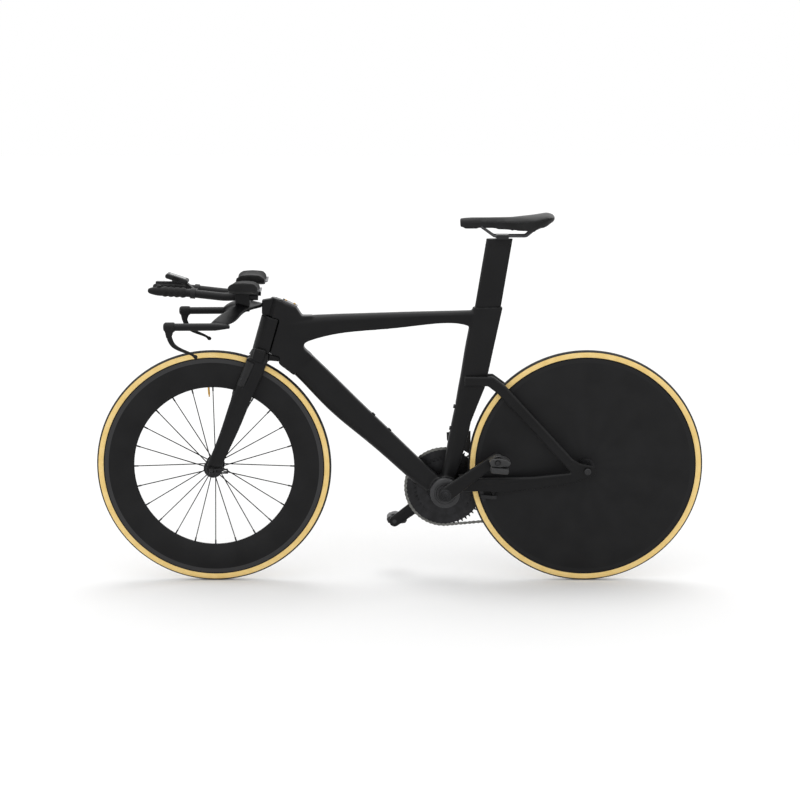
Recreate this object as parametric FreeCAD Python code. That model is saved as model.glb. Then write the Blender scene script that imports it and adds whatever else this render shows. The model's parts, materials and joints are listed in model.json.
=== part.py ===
import FreeCAD, Part
import math
import os

# Time trial bicycle, in millimetres. The bike faces -X, +Z is up, -Y is its left side.
# The origin is on the ground, midway between the two tyre contacts.

# Driving dimensions
wheelbase = 1063.0
tyre_radius = 336.0
chainstay_length = 408.0
bracket_drop = 71.0
head_angle_deg = 73.8

# Fits
cut_overrun = 5.0
seat_gap = 0.2
running_gap = 0.05
body_gap = 0.6
steer_gap = 1.0

# Tyres and rims
tyre_section_radius = 12.5
tyre_wall = 2.2
bead_width = 2.0
tyre_height = 24.0
rim_edge_lap = 1.0
rim_well_depth = 7.0
rim_half_width = 10.25
rim_well_half_width = 7.6
brake_track_height = 12.0
rim_belly_half_width = 11.6
rim_belly_drop = 41.0
rim_depth = 84.0
rim_inner_half_width = 4.0
spoke_count = 24
spoke_width = 2.4
spoke_thickness = 1.3
nipple_radius = 2.0
nipple_length = 11.0
valve_radius = 3.0
valve_length = 20.0
valve_tip_radius = 2.0
valve_tip_length = 7.0
valve_angle_deg = 93.0

# Hubs and axles
front_dropout_inner = 50.0
fork_end_thickness = 8.0
front_axle_radius = 4.5
front_flange_radius = 27.0
front_flange_width = 3.0
front_flange_outer = 34.0
front_barrel_radius = 13.0
front_bearing_radius = 11.0
bearing_width = 7.0
axle_nut_radius = 9.5
axle_nut_length = 11.0
axle_collar_radius = 8.5
rear_dropout_inner = 65.0
dropout_thickness = 6.0
rear_axle_radius = 5.0
rear_nut_length = 9.0
disc_bore_radius = 19.0
disc_centre_half_width = 13.0
disc_flat_radius = 55.0
rear_flange_radius = 26.0
rear_flange_width = 3.0
rear_shell_left = 52.0
rear_bearing_radius = 13.0
freehub_radius = 16.5
freehub_inner_radius = 8.0

# Quick-release lever of the front axle
lever_pivot_radius = 1.9
lever_head_radius = 7.0
lever_cap_length = 4.0
lever_tongue_half = 2.0
lever_tongue_radius = 5.0
lever_tongue_arm_half = 4.0
lever_length = 46.0
lever_loop_width = 14.0
lever_loop_bar = 4.0
lever_thickness = 5.0

# Derived radii of the rims, and places of the wheels and of the crank axis
bead_outer_radius = tyre_radius - tyre_height
rim_edge_radius = bead_outer_radius + rim_edge_lap
rim_well_radius = rim_edge_radius - rim_well_depth
brake_track_inner_radius = rim_edge_radius - brake_track_height
rim_belly_radius = rim_edge_radius - rim_belly_drop
rim_inner_radius = rim_edge_radius - rim_depth
axle_height = tyre_radius
front_axle_x = -wheelbase / 2
rear_axle_x = wheelbase / 2
bracket_x = rear_axle_x - math.sqrt(chainstay_length ** 2 - bracket_drop ** 2)
bracket_z = axle_height - bracket_drop
tyre_centre_radius = tyre_radius - tyre_section_radius

# Frame tubes in the side view: each station is a leading and a trailing point, in shares of the wheelbase
top_tube_shares = (((-0.299, 0.409), (-0.299, 0.316)), ((-0.2465, 0.4105), (-0.2465, 0.3395)),
                   ((-0.188, 0.413), (-0.188, 0.3565)), ((-0.094, 0.416), (-0.094, 0.369)),
                   ((0.019, 0.4195), (0.019, 0.379)), ((0.14, 0.4225), (0.14, 0.389)),
                   ((0.205, 0.4245), (0.188, 0.379)))
down_tube_shares = (((-0.317, 0.2785), (-0.2635, 0.333)), ((-0.282, 0.251), (-0.2325, 0.302)),
                    ((-0.207, 0.172), (-0.154, 0.225)), ((-0.169, 0.1355), (-0.1175, 0.188)),
                    ((-0.096, 0.0745), (-0.05, 0.122)), ((-0.002, -0.0085), (0.0395, 0.034)),
                    ((0.0715, -0.069), (0.113, -0.034)))
seat_tube_shares = (((0.194, 0.4325), (0.2735, 0.4325)), ((0.1735, 0.3235), (0.2505, 0.3235)),
                    ((0.162, 0.2485), (0.235, 0.2485)), ((0.156, 0.2155), (0.2275, 0.2155)),
                    ((0.1475, 0.1635), (0.207, 0.1635)), ((0.139, 0.1215), (0.191, 0.1215)),
                    ((0.1315, 0.0835), (0.1835, 0.0835)), ((0.123, 0.032), (0.1695, 0.032)),
                    ((0.111, -0.034), (0.1485, -0.034)), ((0.1055, -0.066), (0.141, -0.066)))
head_side_shares = ((-0.331, 0.458), (-0.2728, 0.431), (-0.2595, 0.41), (-0.2305, 0.4105), (-0.243, 0.3415),
                    (-0.2497, 0.3385), (-0.2541, 0.3332), (-0.2553, 0.327), (-0.2541, 0.3208),
                    (-0.2497, 0.3155), (-0.243, 0.3122), (-0.2325, 0.302), (-0.282, 0.251), (-0.317, 0.2785),
                    (-0.36, 0.335), (-0.331, 0.437))
head_plan_shares = (-0.376, -0.315, -0.226)
crease_share = 0.34
nose_share = 0.28
tail_share = 0.6
top_tube_front_half = 24.0
top_tube_rear_half = 15.5
down_tube_front_half = 24.0
down_tube_rear_half = 19.0
seat_tube_top_half = 21.0
seat_tube_foot_half = 18.0
bracket_shell_radius = 42.0
bracket_shell_half = 43.0
bracket_bore_radius = 22.0
cup_flange_radius = 24.5
cup_flange_width = 3.5
cup_depth = 9.0

# Steering head: lengths along the axis are counted from its foot, beside the fork crown
steer_foot_share = (-0.367, 0.305)
steerer_radius = 12.7
head_bearing_radius = 18.0
head_bearing_height = 7.0
head_tube_radius = 21.0
head_web_half = 8.0
head_web_reach = 48.0
crown_top_share = 0.00847
crown_top = crown_top_share * wheelbase
nose_top_share = 0.10442
nose_top = nose_top_share * wheelbase
stem_top_share = 0.15616
stem_top = stem_top_share * wheelbase
nose_half_width = 26.0
nose_lead_share = 0.02916
nose_lead = nose_lead_share * wheelbase
nose_tail_share = 0.01787
nose_tail = nose_tail_share * wheelbase
stem_boss_radius = 18.0
stem_bay_radius = 22.5
crown_bay_depth = 106.0
crown_tail_reach_share = 0.05174
crown_tail_reach = crown_tail_reach_share * wheelbase
crown_tail_half = 13.0
crown_tail_low_share = -0.00941
crown_tail_low = crown_tail_low_share * wheelbase
crown_boss_lead = 22.0
crown_boss_trail = 12.0
crown_boss_low = -20.0
crown_boss_high = 18.0
crown_boss_corner = 9.0
crown_boss_proud = 6.0

# Fairing lid on the top tube
lid_thickness = 5.0
lid_half_width = 17.0
lid_screw_radius = 3.0
lid_screw_height = 1.5
lid_screw_shares = (0.12, 0.86)

# Bottle bosses on the down tube and the seat tube
boss_radius = 6.0
boss_height = 3.0
boss_bore_radius = 2.5
boss_depth = 11.0
boss_spacing = 64.0
down_boss_share = 0.675
seat_boss_share = 0.527

# Stays and dropouts
seat_stay_shares = (((0.173, 0.2495), (0.173, 0.222)), ((0.2505, 0.2485), (0.235, 0.222)),
                    ((0.282, 0.225), (0.2615, 0.2025)), ((0.376, 0.124), (0.3545, 0.1045)),
                    ((0.4625, 0.031), (0.442, 0.0115)))
seat_stay_root_inner = 21.4
seat_stay_root_outer = 32.0
chain_stay_shares = (((0.158, -0.0265), (0.158, -0.066)), ((0.226, -0.0255), (0.226, -0.064)),
                     ((0.282, -0.0225), (0.282, -0.066)), ((0.3575, -0.018), (0.3575, -0.0535)),
                     ((0.457, -0.004), (0.457, -0.035)))
chain_stay_root_inner = 17.5
chain_stay_root_outer = 34.0
stay_tip_thickness = 9.0
dropout_shares = ((0.457, -0.035), (0.457, -0.004), (0.442, 0.0115), (0.4625, 0.031), (0.482, 0.0205),
                  (0.518, 0.013), (0.523, 0.0), (0.519, -0.0141))
hanger_shares = ((0.488, -0.024), (0.519, -0.012), (0.519, -0.033), (0.503, -0.038))
hanger_bore_share = (0.5095, -0.0265)
hanger_bore_radius = 5.0

# Front derailleur tab on the seat tube
tab_shares = ((0.145, 0.099), (0.168, 0.103), (0.166, 0.062), (0.143, 0.058))
tab_outer = 24.0
tab_pin_radius = 3.0
tab_pin_reach = 37.0
tab_pin_height_share = 0.45
tab_pin_shares = (0.3, 0.75)

# Fork
fork_shares = (((-0.4055, 0.30), (-0.3535, 0.289)), ((-0.431, 0.234), (-0.3735, 0.234)),
               ((-0.461, 0.1545), (-0.4095, 0.1545)), ((-0.48, 0.098), (-0.433, 0.098)),
               ((-0.4985, 0.051), (-0.4555, 0.051)), ((-0.5145, 0.0115), (-0.4735, 0.0115)))
fork_splay_power = 1.5
blade_root_inner = 18.0
blade_root_outer = 34.0
fork_end_radius = 16.0
crown_low_share = -0.01881
crown_low = crown_low_share * wheelbase
crown_lead_share = 0.03763
crown_lead = crown_lead_share * wheelbase
crown_trail_share = 0.0207
crown_trail = crown_trail_share * wheelbase
tyre_side_room = 4.5
tyre_top_room = 6.0

# Stem and base bar
stem_half_width = 14.0
stem_lead_share = 0.03857
stem_lead = stem_lead_share * wheelbase
stem_front_top_share = 0.14111
stem_front_top = stem_front_top_share * wheelbase
stem_back_share = 0.00753
stem_back = stem_back_share * wheelbase
steerer_cap_room = 2.0
bar_half_span = 180.0
bar_span_shares = (0.0, 0.3, 0.65, 0.975)
bar_shares = (((-0.4235, 0.437), (-0.363, 0.437)), ((-0.431, 0.4355), (-0.3845, 0.4355)),
              ((-0.4555, 0.426), (-0.4105, 0.426)), ((-0.4855, 0.4065), (-0.4425, 0.4065)))
bar_centre_half_thickness = 15.0
bar_tip_half_thickness = 8.5
horn_radius = 10.5
horn_tail_radius = 5.0
horn_front_share = (-0.6015, 0.4005)
horn_tail_share = (-0.4355, 0.4015)
horn_tail_taper = 40.0

# Brake levers and their hoods
hood_radius = 13.5
hood_length = 32.0
hood_cap = 5.0
hood_ear_half = 8.0
hood_ear_front = 34.0
hood_ear_back = 7.0
hood_drop = 34.0
lever_pin_radius = 2.2
lever_half_thickness = 4.0
lever_half_shares = (1.0, 1.6, 1.5, 1.1, 0.75, 0.6)
lever_blade_half = 6.0
lever_ball_radius = 5.5
lever_boss_radius = 6.0
lever_shares = ((-0.5925, 0.3795), (-0.5885, 0.367), (-0.58, 0.351), (-0.5625, 0.3415), (-0.5355, 0.3305),
                (-0.526, 0.3235))

# Extensions with grips and shift buttons
extension_y = 52.0
extension_radius = 11.5
extension_bore_radius = 9.5
extension_bore_depth = 25.0
extension_bend_radius = 160.0
extension_shares = ((-0.372, 0.4665), (-0.461, 0.4645), (-0.555, 0.475), (-0.606, 0.478))
grip_length = 107.0
grip_rib_zone = 66.0
grip_rib_count = 4
grip_radius = 13.2
grip_rib_height = 1.3
grip_tip_radius = 9.5
grip_nose = 5.0
grip_bend_deg = 4.0
grip_fit = 0.15
button_place = 76.0
button_radius = 6.0
button_height = 6.5
button_floor = 8.5
button_travel = 1.5
button_room = 0.4

# Risers, arm cups and arm pads
riser_shares = (-0.431, -0.393)
riser_half_width = 16.0
riser_wall = 4.5
riser_drop = 9.0
arm_plate_thickness = 5.0
arm_plate_reach = 150.0
pad_y = 125.0
pad_half_width = 50.0
pad_shares = (-0.443, -0.362)
pad_end_shares = (0.0, 0.16, 0.5, 0.84, 1.0)
pad_swell_shares = (0.45, 0.9, 1.0, 0.9, 0.5)
pad_thickness = 19.0
pad_draw_share = 0.166
pad_inner_rise = 6.0
pad_outer_rise = 10.0
cup_wall = 3.0
cup_side_inset = 8.0
cup_front_inset = 12.0
cup_rear_reach = 4.0
soft_gap = 0.3

# Computer on its holder
computer_rear_share = (-0.558, 0.505)
computer_front_share = (-0.616, 0.524)
computer_thickness = 14.0
computer_half_width = 25.0
computer_edge = 6.5
key_length = 16.0
key_height = 5.0
key_depth = 2.5
key_proud = 1.6
key_travel = 0.8
key_room = 0.3
holder_shares = ((-0.538, 0.476), (-0.5645, 0.4985), (-0.645, 0.5005), (-0.645, 0.4955), (-0.568, 0.492),
                 (-0.5495, 0.472))
holder_half_width = 11.0
holder_puck_radius = 12.0
holder_puck_height = 8.4
holder_ring_shares = (0.8, 0.93)
holder_ring_wall = 3.0
holder_bar_half = 5.0

# Front brake inside the fork's front edge: lengths are along the blade and across it
brake_foot_share = (-0.4195, 0.2408)
brake_lean_deg = 20.9
brake_pocket = ((-26.0, -16.0), (12.0, -20.0), (17.0, 56.0), (-26.0, 58.0))
brake_wall = 4.0
brake_cavity_half = 31.0
brake_arm_front = 3.0
brake_arm_back = 13.0
brake_pin_radius = 2.5
brake_pin_y = 25.5
brake_pin_z = 8.0
brake_arm_low = 2.0
brake_arm_high = 43.0
brake_arm_outer = 30.0
brake_arm_inner = 21.0
pad_block_length = 34.0
pad_block_height = 9.0
pad_block_thickness = 3.9
pad_block_gap = 2.1
rear_arm_shoulder_share = 1.4

# Rear brake under the chain stays
rear_pin_share = (0.252, -0.0705)
rear_pin_y = 28.0
rear_pin_length = 26.0
rear_arm_low_share = -0.0845
rear_arm_height = 10.0
rear_pad_share = (0.224, -0.079)
rear_pad_lean_deg = -16.0

# Crank, chainrings and pedals
crank_length = 180.0
crank_angle_deg = 36.5
spindle_radius = 12.0
crank_inner_y = 57.0
crank_thickness = 14.0
crank_boss_radius = 21.0
crank_end_radius = 15.0
chain_line_y = 46.0
ring_thickness = 2.0
large_ring_teeth = 56
small_ring_teeth = 42
ring_pitch_y = 6.0
large_ring_bore = 30.0
small_ring_bore = 52.0
bolt_circle_radius = 65.0
bolt_count = 5
spacer_radius = 5.0
spider_radius = 73.0
spider_thickness = 3.6
pedal_axle_radius = 6.0
pedal_axle_length = 62.0
pedal_inner_gap = 6.0
pedal_width = 52.0
pedal_body_shares = ((-0.44, 0.05), (-0.30, 0.38), (0.10, 0.44), (0.48, 0.30), (0.70, -0.05), (0.58, -0.36),
                     (0.10, -0.46), (-0.34, -0.36))
pedal_length = 54.0
pedal_height = 28.0
pedal_rear_slot = 6.0

# Chain, cassette and derailleurs
chain_pitch = 12.7
roller_radius = 3.85
roller_half_length = 1.05
inner_plate_y = 1.12
plate_thickness = 0.8
plate_gap = 0.05
plate_half_height = 4.1
tooth_root = 4.05
tooth_tip = 3.0
tooth_base_half = 3.3
tooth_tip_half = 0.9
sprocket_teeth = (11, 12, 13, 14, 15, 17, 19, 21, 23, 25)
driven_sprocket = 3
sprocket_pitch_y = 4.0
sprocket_thickness = 1.6
sprocket_bore_gap = 0.1
pulley_teeth = 11
pulley_thickness = 2.0
pulley_bore_radius = 4.0
guide_pulley_share = (0.508, -0.083)
pulley_spacing = 58.0
cage_lean_deg = 38.0
cage_search_deg = 25.0
cage_trial_count = 50
plate_nose_share = 0.5
plate_waist_share = 0.62
cage_plate_half = 6.0
cage_plate_thickness = 1.6
cage_plate_width = 13.0
cage_bolt_head = 2.0
knuckle_radius = 11.0
knuckle_width = 12.0
link_y = 68.0
link_drop = 24.0
link_pivot_low = 4.0
link_radius = 6.0
link_half_length = 9.0
link_web_half = 4.0
link_pin_radius = 2.5
ear_thickness = 3.4
front_cage_inner_gap = 4.0
front_cage_plate = 1.5
front_cage_start_deg = 32.0
front_cage_sweep_deg = 34.0
front_cage_depth = 26.0
front_cage_step_count = 5
front_arm_shares = ((0.127, 0.086), (0.192, 0.09), (0.192, 0.05), (0.172, 0.042), (0.165, 0.062), (0.128, 0.064))
front_arm_width = 6.0

# Seatpost, clamp, rails and saddle
post_lean_deg = 9.26
post_top_share = (0.2293, 0.6132)
post_chord = 73.0
post_half_width = 14.5
post_nose_half = 6.0
post_bevel = 10.0
post_taper = 46.0
post_tail_half = 4.0
post_fit = 0.3
post_foot_share = 0.37
socket_floor_share = 0.357
socket_floor = axle_height + socket_floor_share * wheelbase
clamp_share = (0.2706, 0.6132)
clamp_length = 34.0
clamp_half_width = 27.0
clamp_height = 12.0
rail_y = 22.0
rail_radius = 3.5
rail_bend_radius = 14.0
rail_side_shares = (0.55, 1.0, 1.0, 1.2)
rail_shares = ((0.2146, 0.6451), (0.2486, 0.6211), (0.3326, 0.6211), (0.3501, 0.6361))
saddle_nose_share = (0.1576, 0.6546)
saddle_length = 265.0
saddle_station_shares = (0.0, 0.05, 0.3, 0.55, 0.78, 0.93, 1.0)
saddle_half_shares = (0.20, 0.29, 0.31, 0.48, 0.88, 1.0, 0.86)
saddle_half_width = 66.0
saddle_top_shares = (0.93, 1.0, 1.0, 1.05, 1.43, 1.8, 1.5)
saddle_rise = 30.0
saddle_depth_shares = (1.0, 1.07, 0.95, 1.14, 1.45, 1.1, 0.5)
saddle_depth = 29.0
saddle_flank_share = 0.62


def vec(x, y, z):
    return FreeCAD.Vector(x, y, z)


def spot(shares, y=0.0):
    """A point of the side view, given in shares of the wheelbase from the axle line's middle."""
    return vec(shares[0] * wheelbase, y, axle_height + shares[1] * wheelbase)


def polygon_face(points):
    return Part.Face(Part.makePolygon(list(points) + [points[0]]))


def slab(points, low_y, high_y):
    """A side-view polygon, drawn out from one side of the bike to the other."""
    flat = [vec(p.x, low_y, p.z) for p in points]
    return polygon_face(flat).extrude(vec(0, high_y - low_y, 0))


def rounded_face(corners):
    """A polygon face whose corners, given as (point, radius), are rounded by tangent arcs."""
    edges = []
    ends = []
    count = len(corners)
    for index in range(count):
        point, radius = corners[index]
        back = corners[index - 1][0] - point
        ahead = corners[(index + 1) % count][0] - point
        if radius == 0:
            ends.append((point, None, point))
            continue
        back.normalize()
        ahead.normalize()
        half = math.acos(max(-1.0, min(1.0, back.dot(ahead)))) / 2
        reach = radius / math.tan(half)
        middle = back + ahead
        middle.normalize()
        centre = point + middle * (radius / math.sin(half))
        ends.append((point + back * reach, centre - middle * radius, point + ahead * reach))
    for index in range(count):
        start, via, stop = ends[index]
        if via is not None:
            edges.append(Part.Arc(start, via, stop).toShape())
        following = ends[(index + 1) % count][0]
        if (following - stop).Length > seat_gap / 100:
            edges.append(Part.makeLine(stop, following))
    return Part.Face(Part.Wire(edges))


def rounded_slab(corners, low_y, high_y):
    flat = [(vec(p.x, low_y, p.z), r) for p, r in corners]
    return rounded_face(flat).extrude(vec(0, high_y - low_y, 0))


def rod(start, stop, radius):
    line = stop - start
    return Part.makeCylinder(radius, line.Length, start, line)


def tube(start, stop, outer, inner):
    return rod(start, stop, outer).cut(rod(start, stop, inner))


def turned(profile, centre):
    """A solid turned about the Y axis through centre, from (radius, y) pairs."""
    points = [centre + vec(0, y, r) for r, y in profile]
    return polygon_face(points).revolve(centre, vec(0, 1, 0), 360)


def blade_section(lead, trail, side, half_width, shoulder_share, tail_share):
    """A truncated aerofoil: an arc nose at lead, straight sides and a flat tail at trail."""
    shoulder = lead + (trail - lead) * shoulder_share
    left = shoulder - side * half_width
    right = shoulder + side * half_width
    tail_left = trail - side * (half_width * tail_share)
    tail_right = trail + side * (half_width * tail_share)
    edges = [Part.Arc(left, lead, right).toShape()]
    edges.append(Part.makeLine(right, tail_right))
    edges.append(Part.makeLine(tail_right, tail_left))
    edges.append(Part.makeLine(tail_left, left))
    return Part.Wire(edges)


def blade_loft(sections, ruled=False):
    return Part.makeLoft(sections, True, ruled)


def between(low, high, share):
    return low + (high - low) * share


def mirrored(shape):
    """The same piece on the other side of the bike."""
    return shape.mirror(vec(0, 0, 0), vec(0, 1, 0))


def fused(shapes):
    first = shapes[0]
    whole = first.fuse(shapes[1:]) if len(shapes) > 1 else first
    return whole.removeSplitter()


def turn(shape, centre, axis, degrees):
    copy = shape.copy()
    copy.rotate(centre, axis, degrees)
    return copy


def save(name, shapes):
    """Write one node, a single solid or a group of separate solids."""
    solids = []
    for shape in shapes if isinstance(shapes, list) else [shapes]:
        solids.extend(shape.Solids)
    whole = solids[0] if len(solids) == 1 else Part.makeCompound(solids)
    whole.exportStep("parts/" + name + ".step")


def tyre(centre):
    """A hollow clincher tyre with two beads that seat in the rim's well."""
    half = math.sqrt(tyre_section_radius ** 2 - (tyre_centre_radius - bead_outer_radius) ** 2)
    inner_radius = tyre_section_radius - tyre_wall
    inner_half = half - bead_width
    well = rim_well_half_width - seat_gap
    middle = centre + vec(0, 0, tyre_centre_radius)
    crown = middle + vec(0, 0, tyre_section_radius)
    inner_crown = middle + vec(0, 0, inner_radius)

    def at(y, radius):
        return centre + vec(0, y, radius)

    edges = [Part.Arc(at(-half, bead_outer_radius), crown, at(half, bead_outer_radius)).toShape()]
    right = [at(half, bead_outer_radius), at(well, bead_outer_radius - bead_width),
             at(well, rim_well_radius + seat_gap), at(well - bead_width, rim_well_radius + seat_gap),
             at(inner_half, bead_outer_radius)]
    left = [vec(p.x, -p.y, p.z) for p in right]
    edges.extend(Part.makeLine(a, b) for a, b in zip(right, right[1:]))
    edges.append(Part.Arc(right[-1], inner_crown, left[-1]).toShape())
    edges.extend(Part.makeLine(a, b) for a, b in zip(left[::-1], left[::-1][1:]))
    return Part.Face(Part.Wire(edges)).revolve(centre, vec(0, 1, 0), 360)


def rim_edge_profile():
    """The brake tracks and the well that the tyre sits in, from the right side to the left."""
    return [(brake_track_inner_radius, rim_half_width), (rim_edge_radius, rim_half_width),
            (rim_edge_radius, rim_well_half_width), (rim_well_radius, rim_well_half_width),
            (rim_well_radius, -rim_well_half_width), (rim_edge_radius, -rim_well_half_width),
            (rim_edge_radius, -rim_half_width), (brake_track_inner_radius, -rim_half_width)]


def front_rim(centre):
    """A deep rim: brake tracks, a swelling belly and a rounded inner edge."""

    def at(radius, y):
        return centre + vec(0, y, radius)

    edge = [at(r, y) for r, y in rim_edge_profile()]
    edges = [Part.makeLine(a, b) for a, b in zip(edge, edge[1:])]
    left_low = at(rim_inner_radius + rim_inner_half_width, -rim_inner_half_width)
    right_low = at(rim_inner_radius + rim_inner_half_width, rim_inner_half_width)
    edges.append(Part.Arc(edge[-1], at(rim_belly_radius, -rim_belly_half_width), left_low).toShape())
    edges.append(Part.Arc(left_low, at(rim_inner_radius, 0), right_low).toShape())
    edges.append(Part.Arc(right_low, at(rim_belly_radius, rim_belly_half_width), edge[0]).toShape())
    return Part.Face(Part.Wire(edges)).revolve(centre, vec(0, 1, 0), 360)


def rear_disc(centre):
    """A lens-shaped disc wheel body, bored for its hub."""

    def at(radius, y):
        return centre + vec(0, y, radius)

    edge = [at(r, y) for r, y in rim_edge_profile()]
    edges = [Part.makeLine(a, b) for a, b in zip(edge, edge[1:])]
    left_flat = at(disc_flat_radius, -disc_centre_half_width)
    left_bore = at(disc_bore_radius, -disc_centre_half_width)
    right_bore = at(disc_bore_radius, disc_centre_half_width)
    right_flat = at(disc_flat_radius, disc_centre_half_width)
    bulge_radius = (disc_flat_radius + brake_track_inner_radius) / 2
    bulge = (disc_centre_half_width + rim_half_width) / 2 + (disc_centre_half_width - rim_half_width) / 3
    edges.append(Part.Arc(edge[-1], at(bulge_radius, -bulge), left_flat).toShape())
    edges.append(Part.makeLine(left_flat, left_bore))
    edges.append(Part.makeLine(left_bore, right_bore))
    edges.append(Part.makeLine(right_bore, right_flat))
    edges.append(Part.Arc(right_flat, at(bulge_radius, bulge), edge[0]).toShape())
    return Part.Face(Part.Wire(edges)).revolve(centre, vec(0, 1, 0), 360)


def spoke(centre, index):
    """One bladed spoke with its nipple, from a hub flange to the rim's inner edge."""
    side = -1 if index % 2 else 1
    rim_angle = 2 * math.pi * index / spoke_count
    hub_radius = front_flange_radius + seat_gap
    hub_y = side * (front_flange_outer - front_flange_width / 2)
    start = centre + vec(hub_radius * math.cos(rim_angle), hub_y, hub_radius * math.sin(rim_angle))
    rim_point = rim_inner_radius - seat_gap
    stop = centre + vec(rim_point * math.cos(rim_angle), 0, rim_point * math.sin(rim_angle))
    line = stop - start
    length = line.Length
    line.normalize()
    outward = vec(0, 1, 0).cross(line)
    outward.normalize()
    thin = line.cross(outward)
    corner = [(-1, -1), (1, -1), (1, 1), (-1, 1)]
    ends = [start + outward * (a * spoke_width / 2) + thin * (b * spoke_thickness / 2) for a, b in corner]
    blade = polygon_face(ends).extrude(line * (length - nipple_length))
    nipple = rod(stop - line * nipple_length, stop, nipple_radius)
    return blade.fuse(nipple)


def front_hub(centre):
    """A hub shell with two flanges, and its two bearings."""
    flange_in = front_flange_outer - front_flange_width
    shell_end = front_dropout_inner - bearing_width / 2
    profile = [(front_bearing_radius, shell_end), (front_barrel_radius, shell_end)]
    profile += [(front_barrel_radius, front_flange_outer), (front_flange_radius, front_flange_outer),
                (front_flange_radius, flange_in), (front_barrel_radius, flange_in)]
    whole = profile + [(r, -y) for r, y in reversed(profile)]
    shell = turned(whole, centre)
    bearings = []
    for side in (-1, 1):
        far = side * shell_end
        near = side * (shell_end - bearing_width)
        ring = turned([(front_axle_radius + running_gap, near), (front_bearing_radius, near),
                       (front_bearing_radius, far), (front_axle_radius + running_gap, far)], centre)
        bearings.append(ring)
    return [shell] + bearings


def valve(centre):
    angle = math.radians(valve_angle_deg)
    out = vec(math.cos(angle), 0, math.sin(angle))
    foot = centre + out * (rim_inner_radius - seat_gap)
    stem_end = foot - out * valve_length
    tip_end = stem_end - out * valve_tip_length
    return rod(stem_end, foot, valve_radius).fuse(rod(tip_end, stem_end, valve_tip_radius))


def lever_pivot(centre):
    """The upright axis about which the quick-release lever swings, outside the axle's left cap."""
    face = front_dropout_inner + fork_end_thickness + lever_cap_length
    return centre - vec(0, face + body_gap + lever_head_radius, 0)


def front_axle(centre):
    """The hollow axle's rod, its collars inside the fork ends and the nut on the right side."""
    outer = front_dropout_inner + fork_end_thickness
    collar = front_dropout_inner - bearing_width / 2 + body_gap
    shaft = rod(centre + vec(0, -outer, 0), centre + vec(0, outer, 0), front_axle_radius)
    pieces = [shaft]
    for side in (-1, 1):
        pieces.append(rod(centre + vec(0, side * collar, 0),
                          centre + vec(0, side * front_dropout_inner, 0), axle_collar_radius))
    pieces.append(rod(centre + vec(0, outer, 0), centre + vec(0, outer + axle_nut_length, 0), axle_nut_radius))
    cap = outer + lever_cap_length
    pieces.append(rod(centre - vec(0, outer, 0), centre - vec(0, cap, 0), axle_nut_radius))
    pivot = lever_pivot(centre)
    drop = vec(0, 0, lever_tongue_half)
    pieces.append(rod(pivot - drop, pivot + drop, lever_tongue_radius))
    pieces.append(Part.makeBox(2 * lever_tongue_arm_half, -cap - pivot.y, 2 * lever_tongue_half,
                               pivot - drop - vec(lever_tongue_arm_half, 0, 0)))
    past = drop + vec(0, 0, cut_overrun)
    return fused(pieces).cut(rod(pivot - past, pivot + past, lever_pivot_radius + running_gap))


def rear_hub(centre):
    """A hub shell through the disc, with a flange at each face, and its two bearings."""
    flange = disc_centre_half_width + rear_flange_width
    profile = [(rear_bearing_radius, flange), (rear_flange_radius, flange),
               (rear_flange_radius, disc_centre_half_width), (disc_bore_radius, disc_centre_half_width),
               (disc_bore_radius, -disc_centre_half_width), (rear_flange_radius, -disc_centre_half_width),
               (rear_flange_radius, -flange), (disc_bore_radius, -flange),
               (rear_bearing_radius + rear_flange_width, -rear_shell_left), (rear_bearing_radius, -rear_shell_left)]
    pieces = [turned(profile, centre)]
    bore = rear_axle_radius + running_gap
    for far in (flange, -rear_shell_left):
        near = far - bearing_width if far > 0 else far + bearing_width
        pieces.append(turned([(bore, near), (rear_bearing_radius, near), (rear_bearing_radius, far), (bore, far)],
                             centre))
    return pieces


def rear_axle(centre):
    """The solid rear axle with its collars inside the dropouts and a nut outside each."""
    outer = rear_dropout_inner + dropout_thickness
    pieces = [rod(centre - vec(0, outer + rear_nut_length, 0), centre + vec(0, outer + rear_nut_length, 0),
                  rear_axle_radius)]
    for side in (-1, 1):
        nut_start = centre + vec(0, side * outer, 0)
        pieces.append(rod(nut_start, nut_start + vec(0, side * rear_nut_length, 0), axle_nut_radius))
    pieces.append(rod(centre - vec(0, rear_dropout_inner, 0), centre - vec(0, rear_shell_left + body_gap, 0),
                      axle_collar_radius))
    pieces.append(rod(centre + vec(0, cassette_outer_y + body_gap, 0), centre + vec(0, rear_dropout_inner, 0),
                      axle_collar_radius))
    return fused(pieces)


def wheels():
    front = vec(front_axle_x, 0, axle_height)
    rear = vec(rear_axle_x, 0, axle_height)
    save("front_tyre", tyre(front))
    save("front_rim", front_rim(front))
    save("front_spokes", [spoke(front, index) for index in range(spoke_count)])
    save("front_hub", front_hub(front))
    save("front_valve", valve(front))
    save("front_axle", front_axle(front))
    save("rear_tyre", tyre(rear))
    save("rear_disc", rear_disc(rear))
    save("rear_hub", rear_hub(rear))
    save("rear_axle", rear_axle(rear))


def at_head(shape):
    """Place a piece drawn about a vertical steering axis at the head of the frame."""
    copy = shape.copy()
    copy.rotate(vec(0, 0, 0), vec(0, 1, 0), 90 - head_angle_deg)
    copy.translate(spot(steer_foot_share))
    return copy


def upright(low, high, radius):
    """A cylinder about the steering axis, before it is placed at the head."""
    return Part.makeCylinder(radius, high - low, vec(0, 0, low))


def lofted_tube(stations, first_half, last_half, shoulder, ruled=False):
    sections = []
    for index, (lead, trail) in enumerate(stations):
        half = between(first_half, last_half, index / (len(stations) - 1))
        sections.append(blade_section(spot(lead), spot(trail), vec(0, 1, 0), half, shoulder, tail_share))
    return blade_loft(sections, ruled)


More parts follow.
